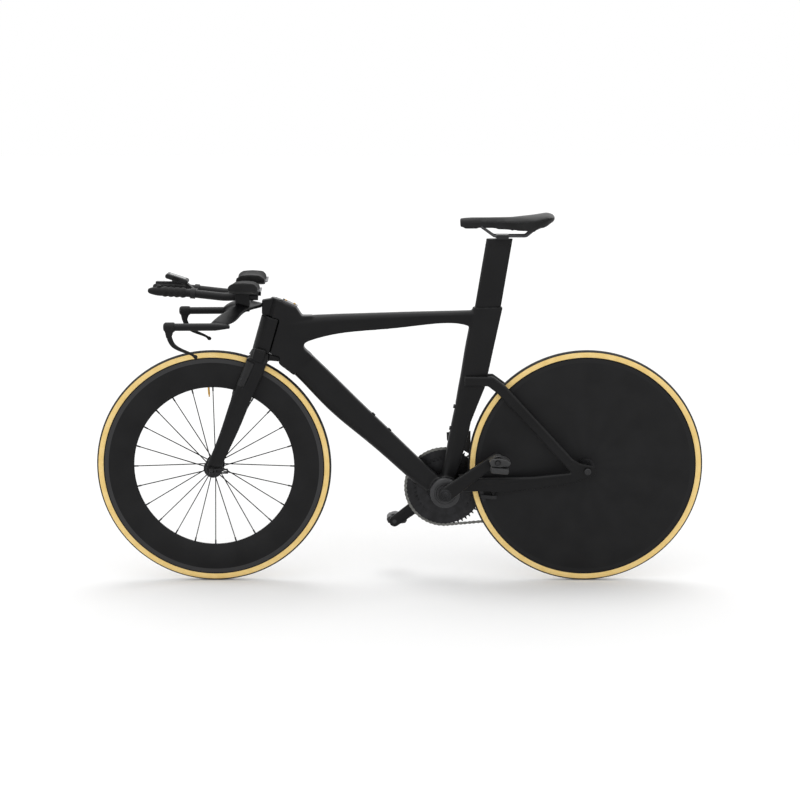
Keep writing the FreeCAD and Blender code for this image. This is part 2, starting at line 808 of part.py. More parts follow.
def head_block():
    """The frame's head with the raised fairing, tapering in plan towards the top tube."""
    side = slab([spot(p) for p in head_side_shares], -nose_half_width, nose_half_width)
    front, shoulder, back = [share * wheelbase for share in head_plan_shares]
    corners = [vec(front, nose_half_width, 0), vec(shoulder, nose_half_width, 0),
               vec(back, top_tube_front_half - cut_overrun, 0)]
    outline = corners + [vec(p.x, -p.y, 0) for p in reversed(corners)]
    plan = polygon_face(outline).extrude(vec(0, 0, wheelbase))
    return side.common(plan)


def head_bays():
    """The spaces about the steering axis that the nose, the stem and the crown swing in."""
    bay = math.hypot(nose_tail, nose_half_width) + steer_gap
    tail_bay = math.hypot(crown_tail_reach, crown_tail_half) + steer_gap
    floor = crown_top + steer_gap
    nose_bay = upright(floor - cut_overrun, nose_top + steer_gap, bay)
    stem_bay = upright(nose_top, stem_top + head_web_reach, stem_bay_radius)
    tail_space = upright(-crown_bay_depth, floor, tail_bay)
    return [at_head(piece) for piece in (nose_bay, stem_bay, tail_space)]


def head_tube():
    """The slim head tube with its web, and the tools that bore it for steerer and bearings."""
    low = crown_top + steer_gap
    post = upright(low, nose_top, head_tube_radius)
    web = Part.makeBox(head_web_reach, 2 * head_web_half, nose_top - low, vec(0, -head_web_half, low))
    bore = upright(low - cut_overrun, nose_top + cut_overrun, steerer_radius + steer_gap)
    seats = [upright(low - cut_overrun, low + head_bearing_height, head_bearing_radius),
             upright(nose_top - head_bearing_height, nose_top + cut_overrun, head_bearing_radius)]
    return at_head(post.fuse(web)), [at_head(bore)] + [at_head(seat) for seat in seats]


def headset_bearings():
    low = crown_top + steer_gap
    rings = []
    for start in (low, nose_top - head_bearing_height):
        ring = upright(start, start + head_bearing_height, head_bearing_radius)
        rings.append(at_head(ring.cut(upright(start, start + head_bearing_height, steerer_radius + running_gap))))
    return rings


def boss_spots():
    """The foot and the outward direction of each bottle boss, on the tubes' trailing faces."""
    places = []
    for stations, share in ((down_tube_shares, down_boss_share), (seat_tube_shares, seat_boss_share)):
        edge = 1 if stations is down_tube_shares else 0
        first = stations[1][edge] if edge else stations[2][edge]
        last = stations[5][edge] if edge else stations[7][edge]
        start, stop = spot(first), spot(last)
        line = stop - start
        middle = start + line * share
        line.normalize()
        out = vec(0, 1, 0).cross(line)
        if (out.x > 0) != (edge == 1):
            out = out * -1
        for step in (-1, 1):
            places.append((middle + line * (step * boss_spacing / 2), out))
    return places


def bottle_bosses():
    """Threaded inserts, each a flanged sleeve set in the tube wall."""
    inserts = []
    for foot, out in boss_spots():
        top = foot + out * boss_height
        sleeve = rod(foot - out * boss_depth, top, boss_radius - running_gap)
        inserts.append(sleeve.cut(rod(foot - out * boss_depth, top, boss_bore_radius)))
    return inserts


def bracket_shell():
    centre = vec(bracket_x, 0, bracket_z)
    return rod(centre - vec(0, bracket_shell_half, 0), centre + vec(0, bracket_shell_half, 0),
               bracket_shell_radius)


def bottom_bracket_cups():
    """A bearing cup pressed into each side of the shell, with its flange outside."""
    centre = vec(bracket_x, 0, bracket_z)
    cups = []
    bore = spindle_radius + running_gap
    inner = bracket_shell_half - cup_depth
    outer = bracket_shell_half + cup_flange_width
    profile = [(bore, inner), (bracket_bore_radius, inner), (bracket_bore_radius, bracket_shell_half),
               (cup_flange_radius, bracket_shell_half), (cup_flange_radius, outer), (bore, outer)]
    for side in (-1, 1):
        cups.append(turned([(r, side * y) for r, y in profile], centre))
    return cups


def post_shape(low, high, grow):
    """The seatpost's bevelled prism between two heights, grown all round by a clearance."""
    lean = math.tan(math.radians(post_lean_deg))

    def section(height):
        lead = spot(post_top_share) + vec(-grow + (height - spot(post_top_share).z) * lean, 0, 0)
        lead.z = height
        chord = post_chord + 2 * grow
        outline = ((0, post_nose_half), (post_bevel, post_half_width), (chord - post_taper, post_half_width),
                   (chord, post_tail_half))
        right = [lead + vec(along, half + grow, 0) for along, half in outline]
        left = [lead + vec(along, -half - grow, 0) for along, half in reversed(outline)]
        return Part.makePolygon(right + left + right[:1])

    return blade_loft([section(low), section(high)], True)


def tab_pins():
    """The feet of the two pins that guide the front derailleur's cage on its tab."""
    low = spot(tab_shares[3]) * (1 - tab_pin_height_share) + spot(tab_shares[0]) * tab_pin_height_share
    high = spot(tab_shares[2]) * (1 - tab_pin_height_share) + spot(tab_shares[1]) * tab_pin_height_share
    return [low + (high - low) * share for share in tab_pin_shares]


def main_frame():
    """Head, top tube, down tube, seat tube and bottom bracket shell, bonded into one moulding."""
    tubes = [head_block(),
             lofted_tube(top_tube_shares, top_tube_front_half, top_tube_rear_half, crease_share),
             lofted_tube(down_tube_shares, down_tube_front_half, down_tube_rear_half, nose_share),
             lofted_tube(seat_tube_shares, seat_tube_top_half, seat_tube_foot_half, nose_share, True),
             bracket_shell(),
             slab([spot(p) for p in tab_shares], 0, tab_outer)]
    tubes.extend(rod(foot, foot + vec(0, tab_pin_reach, 0), tab_pin_radius) for foot in tab_pins())
    frame = tubes[0].fuse(tubes[1:])
    tube_piece, bores = head_tube()
    frame = frame.cut(head_bays()).fuse(tube_piece).cut(bores)
    centre = vec(bracket_x, 0, bracket_z)
    past = bracket_shell_half + cut_overrun
    tools = [rod(centre - vec(0, past, 0), centre + vec(0, past, 0), bracket_bore_radius)]
    tools.append(post_shape(socket_floor, spot(seat_tube_shares[0][0]).z + cut_overrun, post_fit))
    tools.extend(rod(foot - out * boss_depth, foot + out * (boss_height + cut_overrun), boss_radius)
                 for foot, out in boss_spots())
    frame = frame.cut(tools)
    return max(frame.Solids, key=lambda solid: solid.Volume)


def stay(shares, root_inner, root_outer):
    """One stay on the right side, splaying from the tube's flank out to the dropout's face."""
    tip_outer = rear_dropout_inner + dropout_thickness
    tip_inner = tip_outer - stay_tip_thickness
    sections = []
    start = spot(shares[1][0]).x
    finish = spot(shares[-1][0]).x
    for lead, trail in shares:
        share = max(0.0, (spot(lead).x - start) / (finish - start))
        inner = between(root_inner, tip_inner, share)
        outer = between(root_outer, tip_outer, share)
        middle = (inner + outer) / 2
        sections.append(blade_section(spot(lead, middle), spot(trail, middle), vec(0, 1, 0),
                                      (outer - inner) / 2, crease_share, tail_share))
    return blade_loft(sections, True)


def seat_stays():
    right = stay(seat_stay_shares, seat_stay_root_inner, seat_stay_root_outer)
    return [right, mirrored(right)]


def chain_stays():
    right = stay(chain_stay_shares, chain_stay_root_inner, chain_stay_root_outer)
    centre = vec(bracket_x, 0, bracket_z)
    past = bracket_shell_half + cut_overrun
    shell = rod(centre - vec(0, past, 0), centre + vec(0, past, 0), bracket_shell_radius + seat_gap)
    pin = spot(rear_pin_share, rear_pin_y)
    low = vec(pin.x, pin.y, axle_height + rear_arm_low_share * wheelbase)
    high = low + vec(0, 0, rear_pin_length)
    collar = low + vec(0, 0, rear_arm_height + body_gap)
    pins = [rod(low, high, brake_pin_radius), rod(collar, high, 2 * brake_pin_radius)]
    right = fused([right.cut(shell)] + pins)
    return [right, mirrored(right)]


def rear_dropouts():
    """A plate on each side that joins the stays and holds the axle, the right one with the hanger."""
    centre = vec(rear_axle_x, 0, axle_height)
    inner = rear_dropout_inner
    outer = rear_dropout_inner + dropout_thickness
    plate = slab([spot(p) for p in dropout_shares], inner, outer)
    hole = rod(centre + vec(0, inner - cut_overrun, 0), centre + vec(0, outer + cut_overrun, 0),
               rear_axle_radius + running_gap)
    hanger = slab([spot(p) for p in hanger_shares], inner, outer)
    bolt = spot(hanger_bore_share)
    bolt_hole = rod(bolt + vec(0, inner - cut_overrun, 0), bolt + vec(0, outer + cut_overrun, 0),
                    hanger_bore_radius)
    right = plate.fuse(hanger).removeSplitter().cut([hole, bolt_hole])
    return [right, mirrored(plate.cut(hole))]


def fairing_lid():
    """The slim lid on the fairing's slope, with two screws."""
    front, back = spot(head_side_shares[0]), spot(head_side_shares[1])
    line = back - front
    length = line.Length
    line.normalize()
    up = line.cross(vec(0, 1, 0))
    if up.z < 0:
        up = up * -1
    base = [front, back, back + up * lid_thickness, front + up * lid_thickness]
    lid = slab(base, -lid_half_width, lid_half_width)
    screws = []
    for share in lid_screw_shares:
        foot = front + line * (length * share) + up * lid_thickness
        screws.append(rod(foot, foot + up * lid_screw_height, lid_screw_radius))
    lid = lid.fuse(screws)
    return lid.cut(head_bays()[1])


def frame_parts():
    save("main_frame", main_frame())
    save("seat_stays", seat_stays())
    save("chain_stays", chain_stays())
    save("rear_dropouts", rear_dropouts())
    save("headset_bearings", headset_bearings())
    save("bottom_bracket_cups", bottom_bracket_cups())
    save("bottle_bosses", bottle_bosses())
    save("fairing_lid", fairing_lid())


def turned_along(profile, origin, direction):
    """A solid turned about any axis, from (radius, along) pairs."""
    line = FreeCAD.Vector(direction)
    line.normalize()
    guide = vec(0, 1, 0) if abs(line.y) < abs(line.x) + abs(line.z) else vec(1, 0, 0)
    out = line.cross(guide)
    out.normalize()
    points = [origin + line * along + out * radius for radius, along in profile]
    return polygon_face(points).revolve(origin, line, 360)


def bent_path(points, radius):
    """Straight runs joined by tangent arcs."""
    edges = []
    start = points[0]
    for index in range(1, len(points) - 1):
        corner = points[index]
        back = points[index - 1] - corner
        ahead = points[index + 1] - corner
        back.normalize()
        ahead.normalize()
        half = math.acos(max(-1.0, min(1.0, back.dot(ahead)))) / 2
        reach = radius / math.tan(half)
        middle = back + ahead
        middle.normalize()
        via = corner + middle * (radius / math.sin(half) - radius)
        first, last = corner + back * reach, corner + ahead * reach
        edges.append(Part.makeLine(start, first))
        edges.append(Part.Arc(first, via, last).toShape())
        start = last
    edges.append(Part.makeLine(start, points[-1]))
    return Part.Wire(edges)


def pipe(points, bend_radius, radius):
    path = bent_path(points, bend_radius)
    ring = Part.Wire(Part.makeCircle(radius, points[0], points[1] - points[0]))
    return path.makePipeShell([ring], True, False)


def fork_blade():
    """The right blade: an aerofoil that splays outwards on its way down to the axle."""
    tip_inner = front_dropout_inner
    tip_outer = front_dropout_inner + fork_end_thickness
    top = spot(fork_shares[0][0]).z
    bottom = spot(fork_shares[-1][0]).z
    sections = []
    for lead, trail in fork_shares:
        share = ((top - spot(lead).z) / (top - bottom)) ** fork_splay_power
        inner = between(blade_root_inner, tip_inner, share)
        outer = between(blade_root_outer, tip_outer, share)
        middle = (inner + outer) / 2
        sections.append(blade_section(spot(lead, middle), spot(trail, middle), vec(0, 1, 0),
                                      (outer - inner) / 2, nose_share, tail_share))
    blade = blade_loft(sections)
    centre = vec(front_axle_x, 0, axle_height)
    end = rod(centre + vec(0, tip_inner, 0), centre + vec(0, tip_outer, 0), fork_end_radius)
    foot = spot(fork_shares[-1][0]), spot(fork_shares[-1][1])
    cheek = slab([foot[0], foot[1], centre + vec(fork_end_radius, 0, 0), centre - vec(fork_end_radius, 0, 0)],
                 tip_inner, tip_outer)
    return blade.fuse([end, cheek])


def at_brake(shape):
    """Place a piece drawn in the front brake's own frame, along the blades' front edge."""
    copy = shape.copy()
    copy.rotate(vec(0, 0, 0), vec(0, 1, 0), brake_lean_deg)
    copy.translate(spot(brake_foot_share))
    return copy


def brake_pocket_tool(half):
    points = [vec(x, 0, z) for x, z in brake_pocket]
    return at_brake(slab(points, -half, half))


def plan_section(lead, trail, half, level):
    """A horizontal aerofoil about the steering axis."""
    return blade_section(vec(-lead, 0, level), vec(trail, 0, level), vec(0, 1, 0), half, 2 * nose_share, 1.0)


def crown():
    upper = plan_section(nose_lead, nose_tail, nose_half_width, crown_top)
    lower = plan_section(crown_lead, crown_trail, blade_root_outer, crown_low)
    body = blade_loft([upper, lower], True)
    side = [vec(0, 0, crown_top - steer_gap), vec(crown_tail_reach, 0, crown_top - steer_gap),
            vec(crown_tail_reach, 0, crown_tail_low / 2), vec(crown_tail_reach / 2, 0, crown_tail_low),
            vec(0, 0, crown_low)]
    tail = slab(side, -crown_tail_half, crown_tail_half)
    corners = [(vec(x, 0, z), crown_boss_corner) for x, z in
               ((-crown_boss_lead, crown_boss_low), (crown_boss_trail, crown_boss_low),
                (crown_boss_trail, crown_boss_high), (-crown_boss_lead, crown_boss_high))]
    boss = rounded_slab(corners, nose_half_width + steer_gap, nose_half_width + crown_boss_proud)
    return at_head(body.fuse([tail, boss, mirrored(boss)]))


def tyre_arch():
    centre = vec(front_axle_x, 0, axle_height)
    half = tyre_section_radius + tyre_side_room
    return rod(centre - vec(0, half, 0), centre + vec(0, half, 0), tyre_radius + tyre_top_room)


def axle_slots():
    """The open-ended slots in the fork ends."""
    centre = vec(front_axle_x, 0, axle_height)
    past = front_dropout_inner + fork_end_thickness + cut_overrun
    radius = front_axle_radius + running_gap
    hole = rod(centre - vec(0, past, 0), centre + vec(0, past, 0), radius)
    slot = Part.makeBox(2 * radius, 2 * past, fork_end_radius + cut_overrun,
                        centre - vec(radius, past, fork_end_radius + cut_overrun))
    return hole.fuse(slot)


def fork():
    """Crown, steerer and both blades in one moulding, with the brake pivots in its pocket."""
    blade = fork_blade()
    steerer = at_head(upright(0, stem_top - steerer_cap_room, steerer_radius))
    body = crown().fuse([blade, mirrored(blade)]).cut([tyre_arch(), axle_slots()])
    body = body.cut(brake_pocket_tool(front_dropout_inner))
    back = max(x for x, z in brake_pocket)
    pins = []
    for side in (-1, 1):
        start = vec(brake_arm_front, side * brake_pin_y, brake_pin_z)
        pins.append(at_brake(rod(start, start + vec(back, 0, 0), brake_pin_radius)))
    return body.fuse([steerer] + pins)


def front_brake_cover():
    """A shell on each blade that closes the brake's pocket, flush with the blade."""
    blade = fork_blade()
    whole = crown().fuse([blade, mirrored(blade)]).cut(tyre_arch()).common(brake_pocket_tool(front_dropout_inner))
    front = min(x for x, z in brake_pocket)
    low = min(z for x, z in brake_pocket) + brake_wall
    high = max(z for x, z in brake_pocket) - 2 * brake_wall
    inside = [vec(brake_arm_front - brake_wall, 0, low), vec(-front, 0, low), vec(-front, 0, high),
              vec(brake_arm_front - brake_wall, 0, high)]
    return whole.cut(at_brake(slab(inside, -brake_cavity_half, brake_cavity_half)))


def front_brake_arm():
    """The right arm, swinging about its pin, with the brake block at its tip."""
    inner = rim_half_width + pad_block_gap
    back = inner + pad_block_thickness
    tip = brake_arm_high - pad_block_height - steer_gap
    profile = [vec(brake_arm_front, brake_arm_inner, brake_arm_low),
               vec(brake_arm_front, brake_arm_outer, brake_arm_low),
               vec(brake_arm_front, brake_arm_outer, 2 * brake_pin_z),
               vec(brake_arm_front, brake_arm_inner, brake_arm_high), vec(brake_arm_front, back, brake_arm_high),
               vec(brake_arm_front, back, tip), vec(brake_arm_front, brake_arm_inner, 2 * brake_pin_z)]
    arm = polygon_face(profile).extrude(vec(brake_arm_back - brake_arm_front, 0, 0))
    middle = (brake_arm_front + brake_arm_back) / 2
    block = Part.makeBox(pad_block_length, pad_block_thickness, pad_block_height,
                         vec(middle - pad_block_length / 2, inner, brake_arm_high - pad_block_height))
    pin = rod(vec(brake_arm_front - cut_overrun, brake_pin_y, brake_pin_z),
              vec(brake_arm_back + cut_overrun, brake_pin_y, brake_pin_z), brake_pin_radius + running_gap)
    return at_brake(arm.fuse(block).removeSplitter().cut(pin))


def fork_nose():
    """The U-shaped fairing round the head tube, which turns with the fork."""
    inner = head_tube_radius + steer_gap

    def at(x, y):
        return vec(x, y, crown_top)

    outer_arc = Part.Arc(at(0, -nose_half_width), at(-nose_lead, 0), at(0, nose_half_width)).toShape()
    inner_arc = Part.Arc(at(0, inner), at(-inner, 0), at(0, -inner)).toShape()
    right = [at(0, nose_half_width), at(nose_tail, nose_half_width), at(nose_tail, inner), at(0, inner)]
    left = [at(0, -inner), at(nose_tail, -inner), at(nose_tail, -nose_half_width), at(0, -nose_half_width)]
    edges = [outer_arc] + [Part.makeLine(a, b) for a, b in zip(right, right[1:])]
    edges += [inner_arc] + [Part.makeLine(a, b) for a, b in zip(left, left[1:])]
    return at_head(Part.Face(Part.Wire(edges)).extrude(vec(0, 0, nose_top - crown_top)))


def stem():
    """A short stem: a round boss on the steerer and a wedge that reaches to the base bar."""
    low = nose_top + steer_gap
    boss = upright(low, stem_top, stem_boss_radius)
    side = [vec(-nose_lead, 0, low), vec(0, 0, low), vec(0, 0, stem_top), vec(-stem_back, 0, stem_top),
            vec(-stem_lead, 0, stem_front_top)]
    block = slab(side, -stem_half_width, stem_half_width)
    bore = upright(low - cut_overrun, stem_top - steerer_cap_room + seat_gap, steerer_radius + running_gap)
    return at_head(boss.fuse(block).removeSplitter().cut(bore))


def base_bar():
    """A wing that sweeps out, forward and down from the stem to a horn on each side."""
    sections = []
    stations = list(zip(bar_span_shares, bar_shares))
    for side in (-1, 1):
        for span, (lead, trail) in stations[::-1] if side < 0 else stations[1:]:
            y = side * span * bar_half_span
            half = between(bar_centre_half_thickness, bar_tip_half_thickness, span)
            sections.append(blade_section(spot(lead, y), spot(trail, y), vec(0, 0, 1), half, nose_share,
                                          tail_share / 2))
    wing = blade_loft(sections)
    horns = []
    for side in (-1, 1):
        tail = spot(horn_tail_share, side * bar_half_span)
        line = spot(horn_front_share, side * bar_half_span) - tail
        profile = [(0, 0), (horn_tail_radius, 0), (horn_radius, horn_tail_taper), (horn_radius, line.Length),
                   (0, line.Length)]
        horns.append(turned_along(profile, tail, line))
    return wing.fuse(horns)


def strip(points, halves):
    """A side-view band along a line of points, with a half width at each."""
    left, right = [], []
    for index, point in enumerate(points):
        before = points[max(0, index - 1)]
        after = points[min(len(points) - 1, index + 1)]
        line = after - before
        line.normalize()
        across = vec(-line.z, 0, line.x) * halves[index]
        left.append(point + across)
        right.append(point - across)
    return left + right[::-1]


def lever_hood():
    """A rubber sleeve on the right horn's front end, with the cheeks that hold the lever's pin."""
    tip = spot(horn_front_share, bar_half_span)
    line = tip - spot(horn_tail_share, bar_half_span)
    line.normalize()
    start = tip - line * (hood_length - hood_cap)
    length = hood_length
    profile = [(0, 0), (hood_radius - steer_gap, 0), (hood_radius, hood_cap), (hood_radius, length - hood_cap),
               (hood_radius - hood_cap, length), (0, length)]
    sleeve = turned_along(profile, start, line)
    bore = rod(start - line * cut_overrun, tip + line * running_gap, horn_radius + running_gap)
    pivot = spot(lever_shares[0], bar_half_span)
    cheeks = slab([tip + vec(-hood_cap / 2, 0, 0), tip + vec(hood_ear_front - hood_ear_back, 0, 0),
                   pivot + vec(hood_ear_back, 0, -hood_ear_back), pivot - vec(hood_ear_back, 0, hood_ear_back)],
                  bar_half_span - hood_ear_half, bar_half_span + hood_ear_half)
    room = lever_half_thickness + body_gap
    gap = Part.makeBox(2 * hood_drop, 2 * room, hood_drop,
                       pivot - vec(hood_drop, room, hood_drop - lever_boss_radius - body_gap))
    pin = rod(pivot - vec(0, hood_ear_half, 0), pivot + vec(0, hood_ear_half, 0), lever_pin_radius)
    return sleeve.fuse(cheeks).cut([bore, gap]).fuse(pin)


def brake_lever():
    """The right lever: a curved blade with a round pivot boss and a ball at its tip."""
    points = [spot(p, bar_half_span) for p in lever_shares]
    low, high = bar_half_span - lever_half_thickness, bar_half_span + lever_half_thickness
    halves = [share * lever_blade_half for share in lever_half_shares]
    blade = slab(strip(points, halves), low, high)
    boss = rod(points[0] - vec(0, lever_half_thickness, 0), points[0] + vec(0, lever_half_thickness, 0),
               lever_boss_radius)
    ball = Part.makeSphere(lever_ball_radius, points[-1])
    hole = rod(points[0] - vec(0, 2 * lever_half_thickness, 0), points[0] + vec(0, 2 * lever_half_thickness, 0),
               lever_pin_radius + running_gap)
    return blade.fuse([boss, ball]).cut(hole)


def extension():
    """The right extension bar, straight under the arm pad and rising to the grip."""
    points = [spot(p, extension_y) for p in extension_shares]
    bar = pipe(points, extension_bend_radius, extension_radius)
    line = points[1] - points[0]
    line.normalize()
    return bar.cut(rod(points[0] - line * cut_overrun, points[0] + line * extension_bore_depth,
                       extension_bore_radius))


def grip_line():
    points = [spot(p, extension_y) for p in extension_shares]
    line = points[-1] - points[-2]
    line.normalize()
    foot = points[-2] + line * (extension_bend_radius * math.tan(math.radians(grip_bend_deg)) / 2)
    return foot, line, points[-1]


def button_line():
    """The shift button's place on the right grip: the foot of its axis and its direction."""
    foot, line, end = grip_line()
    up = line.cross(vec(0, 1, 0))
    if up.z < 0:
        up = up * -1
    return foot + line * button_place, up


def grip():
    """The right grip: a sleeve with finger ribs and a pointed tip, bored for the bar."""
    foot, line, end = grip_line()
    profile = [(0, 0), (grip_radius, 0)]
    step = grip_rib_zone / grip_rib_count
    for rib in range(grip_rib_count):
        start = step * rib
        profile += [(grip_radius, start + step / 4), (grip_radius + grip_rib_height, start + step / 2),
                    (grip_radius + grip_rib_height, start + 3 * step / 4), (grip_radius, start + step)]
    profile += [(grip_radius, button_place + 2 * button_radius), (grip_tip_radius, grip_length - grip_nose),
                (grip_tip_radius / 2, grip_length), (0, grip_length)]
    sleeve = turned_along(profile, foot, line)
    bore = rod(foot - line * cut_overrun, end + line * grip_fit, extension_radius + grip_fit)
    place, up = button_line()
    pocket = rod(place + up * button_floor, place + up * (2 * grip_radius), button_radius + button_room)
    return sleeve.cut([bore, pocket])


def shift_button():
    place, up = button_line()
    low = button_floor + button_travel + button_room
    return rod(place + up * low, place + up * (low + button_height), button_radius)


def riser(bar):
    """The right riser: a block on the base bar that clamps the extension and carries the arm plate."""
    points = [spot(p, extension_y) for p in extension_shares]
    front, back = [share * wheelbase for share in riser_shares]
    low = spot(bar_shares[1][0]).z - riser_drop
    high = points[0].z + extension_radius + riser_wall
    block = Part.makeBox(back - front, 2 * riser_half_width, high - low,
                         vec(front, extension_y - riser_half_width, low))
    plate = Part.makeBox(back - front, arm_plate_reach - extension_y + riser_half_width, arm_plate_thickness,
                         vec(front, extension_y - riser_half_width, high))
    line = points[1] - points[0]
    hole = rod(points[0] - line, points[1] + line, extension_radius + running_gap)
    return block.fuse(plate).removeSplitter().cut([hole, bar, arm_cup()])


def arm_plate_top():
    return spot(extension_shares[0]).z + extension_radius + riser_wall + arm_plate_thickness


def cradle_band(x, floor, thickness, half):
    """A cradle-shaped band across the forearm, higher on its outer side, at one station."""
    inner = vec(x, pad_y - half, floor + pad_inner_rise)
    outer = vec(x, pad_y + half, floor + pad_outer_rise)
    low = vec(x, pad_y, floor)
    up = vec(0, 0, thickness)
    edges = [Part.Arc(inner, low, outer).toShape(), Part.makeLine(outer, outer + up),
             Part.Arc(outer + up, low + up, inner + up).toShape(), Part.makeLine(inner + up, inner)]
    return Part.Wire(edges)


def arm_cup():
    front, back = [share * wheelbase for share in pad_shares]
    floor = arm_plate_top()
    stations = (front + cup_front_inset, back + cup_rear_reach)
    ends = [cradle_band(x, floor, cup_wall, pad_half_width) for x in stations]
    half = pad_half_width - cup_side_inset
    keep = Part.makeBox(wheelbase, 2 * half, wheelbase, vec(front, pad_y - half, 0))
    return blade_loft(ends, True).common(keep)


def arm_pad():
    """The right arm pad: a crowned cushion with drawn-in ends that lies in its cup."""
    front, back = [share * wheelbase for share in pad_shares]
    floor = arm_plate_top() + cup_wall + soft_gap
    sections = []
    for along, swell in zip(pad_end_shares, pad_swell_shares):
        half = pad_half_width * (1 - (1 - swell) * pad_draw_share)
        sections.append(cradle_band(between(front, back, along), floor, pad_thickness * swell, half))
    return blade_loft(sections, True)


def computer():
    """A slim handlebar computer, tilted to the rider, with a recess for its key."""
    back, front = spot(computer_rear_share), spot(computer_front_share)
    line = front - back
    line.normalize()
    up = vec(-line.z, 0, line.x)
    if up.z < 0:
        up = up * -1
    corners = [(back, computer_edge), (front, computer_edge), (front - up * computer_thickness, computer_edge),
               (back - up * computer_thickness, computer_edge)]
    body = rounded_slab(corners, -computer_half_width, computer_half_width)
    return body, (back + front) / 2 - up * (computer_thickness / 2), line, up


def key_block(grow, low_y, high_y):
    body, middle, line, up = computer()
    half_l, half_h = key_length / 2 + grow, key_height / 2 + grow
    corners = [middle + line * a + up * b for a, b in
               ((-half_l, -half_h), (half_l, -half_h), (half_l, half_h), (-half_l, half_h))]
    return slab(corners, low_y, high_y)


def computer_parts():
    body, middle, line, up = computer()
    inner = -computer_half_width + key_depth
    pocket = key_block(key_room, -computer_half_width - cut_overrun, inner)
    save("bike_computer", body.cut(pocket))
    save("computer_key", key_block(0.0, -computer_half_width - key_proud, inner - key_travel - key_room))


def computer_holder():
    """A bridge between the extensions with an arm and a puck under the computer."""
    body, middle, line, up = computer()
    points = [spot(p, extension_y) for p in extension_shares]
    run = points[2] - points[1]
    first, last = [points[1] + run * share for share in holder_ring_shares]
    outer = extension_radius + holder_ring_wall
    arm = slab([spot(p) for p in holder_shares], -holder_half_width, holder_half_width)
    base = middle - up * (computer_thickness / 2)
    puck = rod(base - up * holder_puck_height, base, holder_puck_radius)
    centre = (first + last) / 2
    bridge = Part.makeBox(2 * holder_bar_half, 2 * extension_y, 2 * holder_bar_half,
                          vec(centre.x - holder_bar_half, -extension_y, centre.z - holder_bar_half))
    pieces = [arm, puck, bridge]
    bores = []
    for side in (-1, 1):
        start, stop = [vec(p.x, side * p.y, p.z) for p in (first, last)]
        pieces.append(rod(start, stop, outer))
        bores.append(rod(start + (start - stop), stop + (stop - start), extension_radius + running_gap))
    return fused(pieces).cut(bores + [body])


def quick_release():
    """The looped lever of the front axle, closed and pointing rearwards, on the left side."""
    pivot = lever_pivot(vec(front_axle_x, 0, axle_height))
    half = lever_loop_width / 2
    bar = lever_loop_bar
    side = vec(0, lever_thickness / 2, 0)
    up = vec(0, 0, half)
    outer = Part.makeBox(lever_length, lever_thickness, 2 * half, pivot - side - up)
    window = Part.makeBox(lever_length - lever_head_radius - 2 * bar, lever_thickness + 2 * cut_overrun,
                          2 * (half - bar),
                          pivot + vec(lever_head_radius + bar, -cut_overrun, bar - half) - side)
    cam = rod(pivot - up, pivot + up, lever_head_radius)
    gap = vec(0, 0, lever_tongue_half + body_gap)
    slot = rod(pivot - gap, pivot + gap, lever_head_radius + body_gap)
    pin = rod(pivot - up, pivot + up, lever_pivot_radius)
    return fused([fused([outer, cam]).cut([window, slot]), pin])


def steering_parts():
    bar = base_bar().cut(stem())
    save("fork", fork())
    save("fork_nose", fork_nose())
    save("stem", stem())
    save("base_bar", bar)
    pairs = {"lever_hoods": lever_hood(), "extensions": extension(), "grips": grip(), "arm_cups": arm_cup(),
             "arm_pads": arm_pad(), "bar_risers": riser(bar)}
    for name, right in pairs.items():
        save(name, [right, mirrored(right)])
    sides = {"brake_lever": brake_lever(), "shift_button": shift_button(), "front_brake_arm": front_brake_arm()}
    for name, right in sides.items():
        save(name + "_right", right)
        save(name + "_left", mirrored(right))
    save("front_brake_cover", front_brake_cover())
    save("computer_holder", computer_holder())
    computer_parts()
    save("quick_release_lever", quick_release())


def pitch_radius(teeth):
    return chain_pitch / (2 * math.sin(math.pi / teeth))


def toothed_plate(centre, teeth, phase, bore, thickness, middle_y):
    """A chain wheel: straight-flanked teeth between roller seats, bored in the middle."""
    radius = pitch_radius(teeth)
    low = middle_y - thickness / 2
    points = []
    for tooth in range(teeth):
        middle = phase + 2 * math.pi * (tooth + 0.5) / teeth
        for offset, height in ((-tooth_base_half, -tooth_root), (-tooth_tip_half, tooth_tip),
                               (tooth_tip_half, tooth_tip), (tooth_base_half, -tooth_root)):
            angle = middle + offset / radius
            reach = radius + height
            points.append(vec(centre.x + reach * math.cos(angle), low, centre.z + reach * math.sin(angle)))
    plate = polygon_face(points).extrude(vec(0, thickness, 0))
    past = vec(0, cut_overrun, 0)
    hub = vec(centre.x, low, centre.z)
    return plate.cut(rod(hub - past, hub + vec(0, thickness, 0) + past, bore))


def wheels_at(lean_deg):
    """The chain's four wheels: centre, pitch radius, teeth and the sense in which the chain goes round."""
    ring = vec(bracket_x, 0, bracket_z)
    sprocket = vec(rear_axle_x, 0, axle_height)
    guide = spot(guide_pulley_share)
    lean = math.radians(lean_deg)
    tension = guide - vec(math.sin(lean), 0, math.cos(lean)) * pulley_spacing
    teeth = sprocket_teeth[driven_sprocket]
    return [(ring, pitch_radius(large_ring_teeth), large_ring_teeth, 1), (sprocket, pitch_radius(teeth), teeth, 1),
            (guide, pitch_radius(pulley_teeth), pulley_teeth, -1),
            (tension, pitch_radius(pulley_teeth), pulley_teeth, 1)]


def tangent(first, second):
    """Where a belt leaves one wheel and meets the next, as angles on the two wheels."""
    c1, r1, s1 = first[0], first[1], first[3]
    c2, r2, s2 = second[0], second[1], second[3]
    line = c2 - c1
    length = math.hypot(line.x, line.z)
    heading = math.atan2(line.z, line.x)
    lift = math.acos((s1 * r1 - s2 * r2) / length)
    angle = heading + lift
    return (angle if s1 > 0 else angle + math.pi), (angle if s2 > 0 else angle + math.pi)


def chain_sweep(wheel, arrive, leave):
    return (leave - arrive) * -wheel[3] % (2 * math.pi)


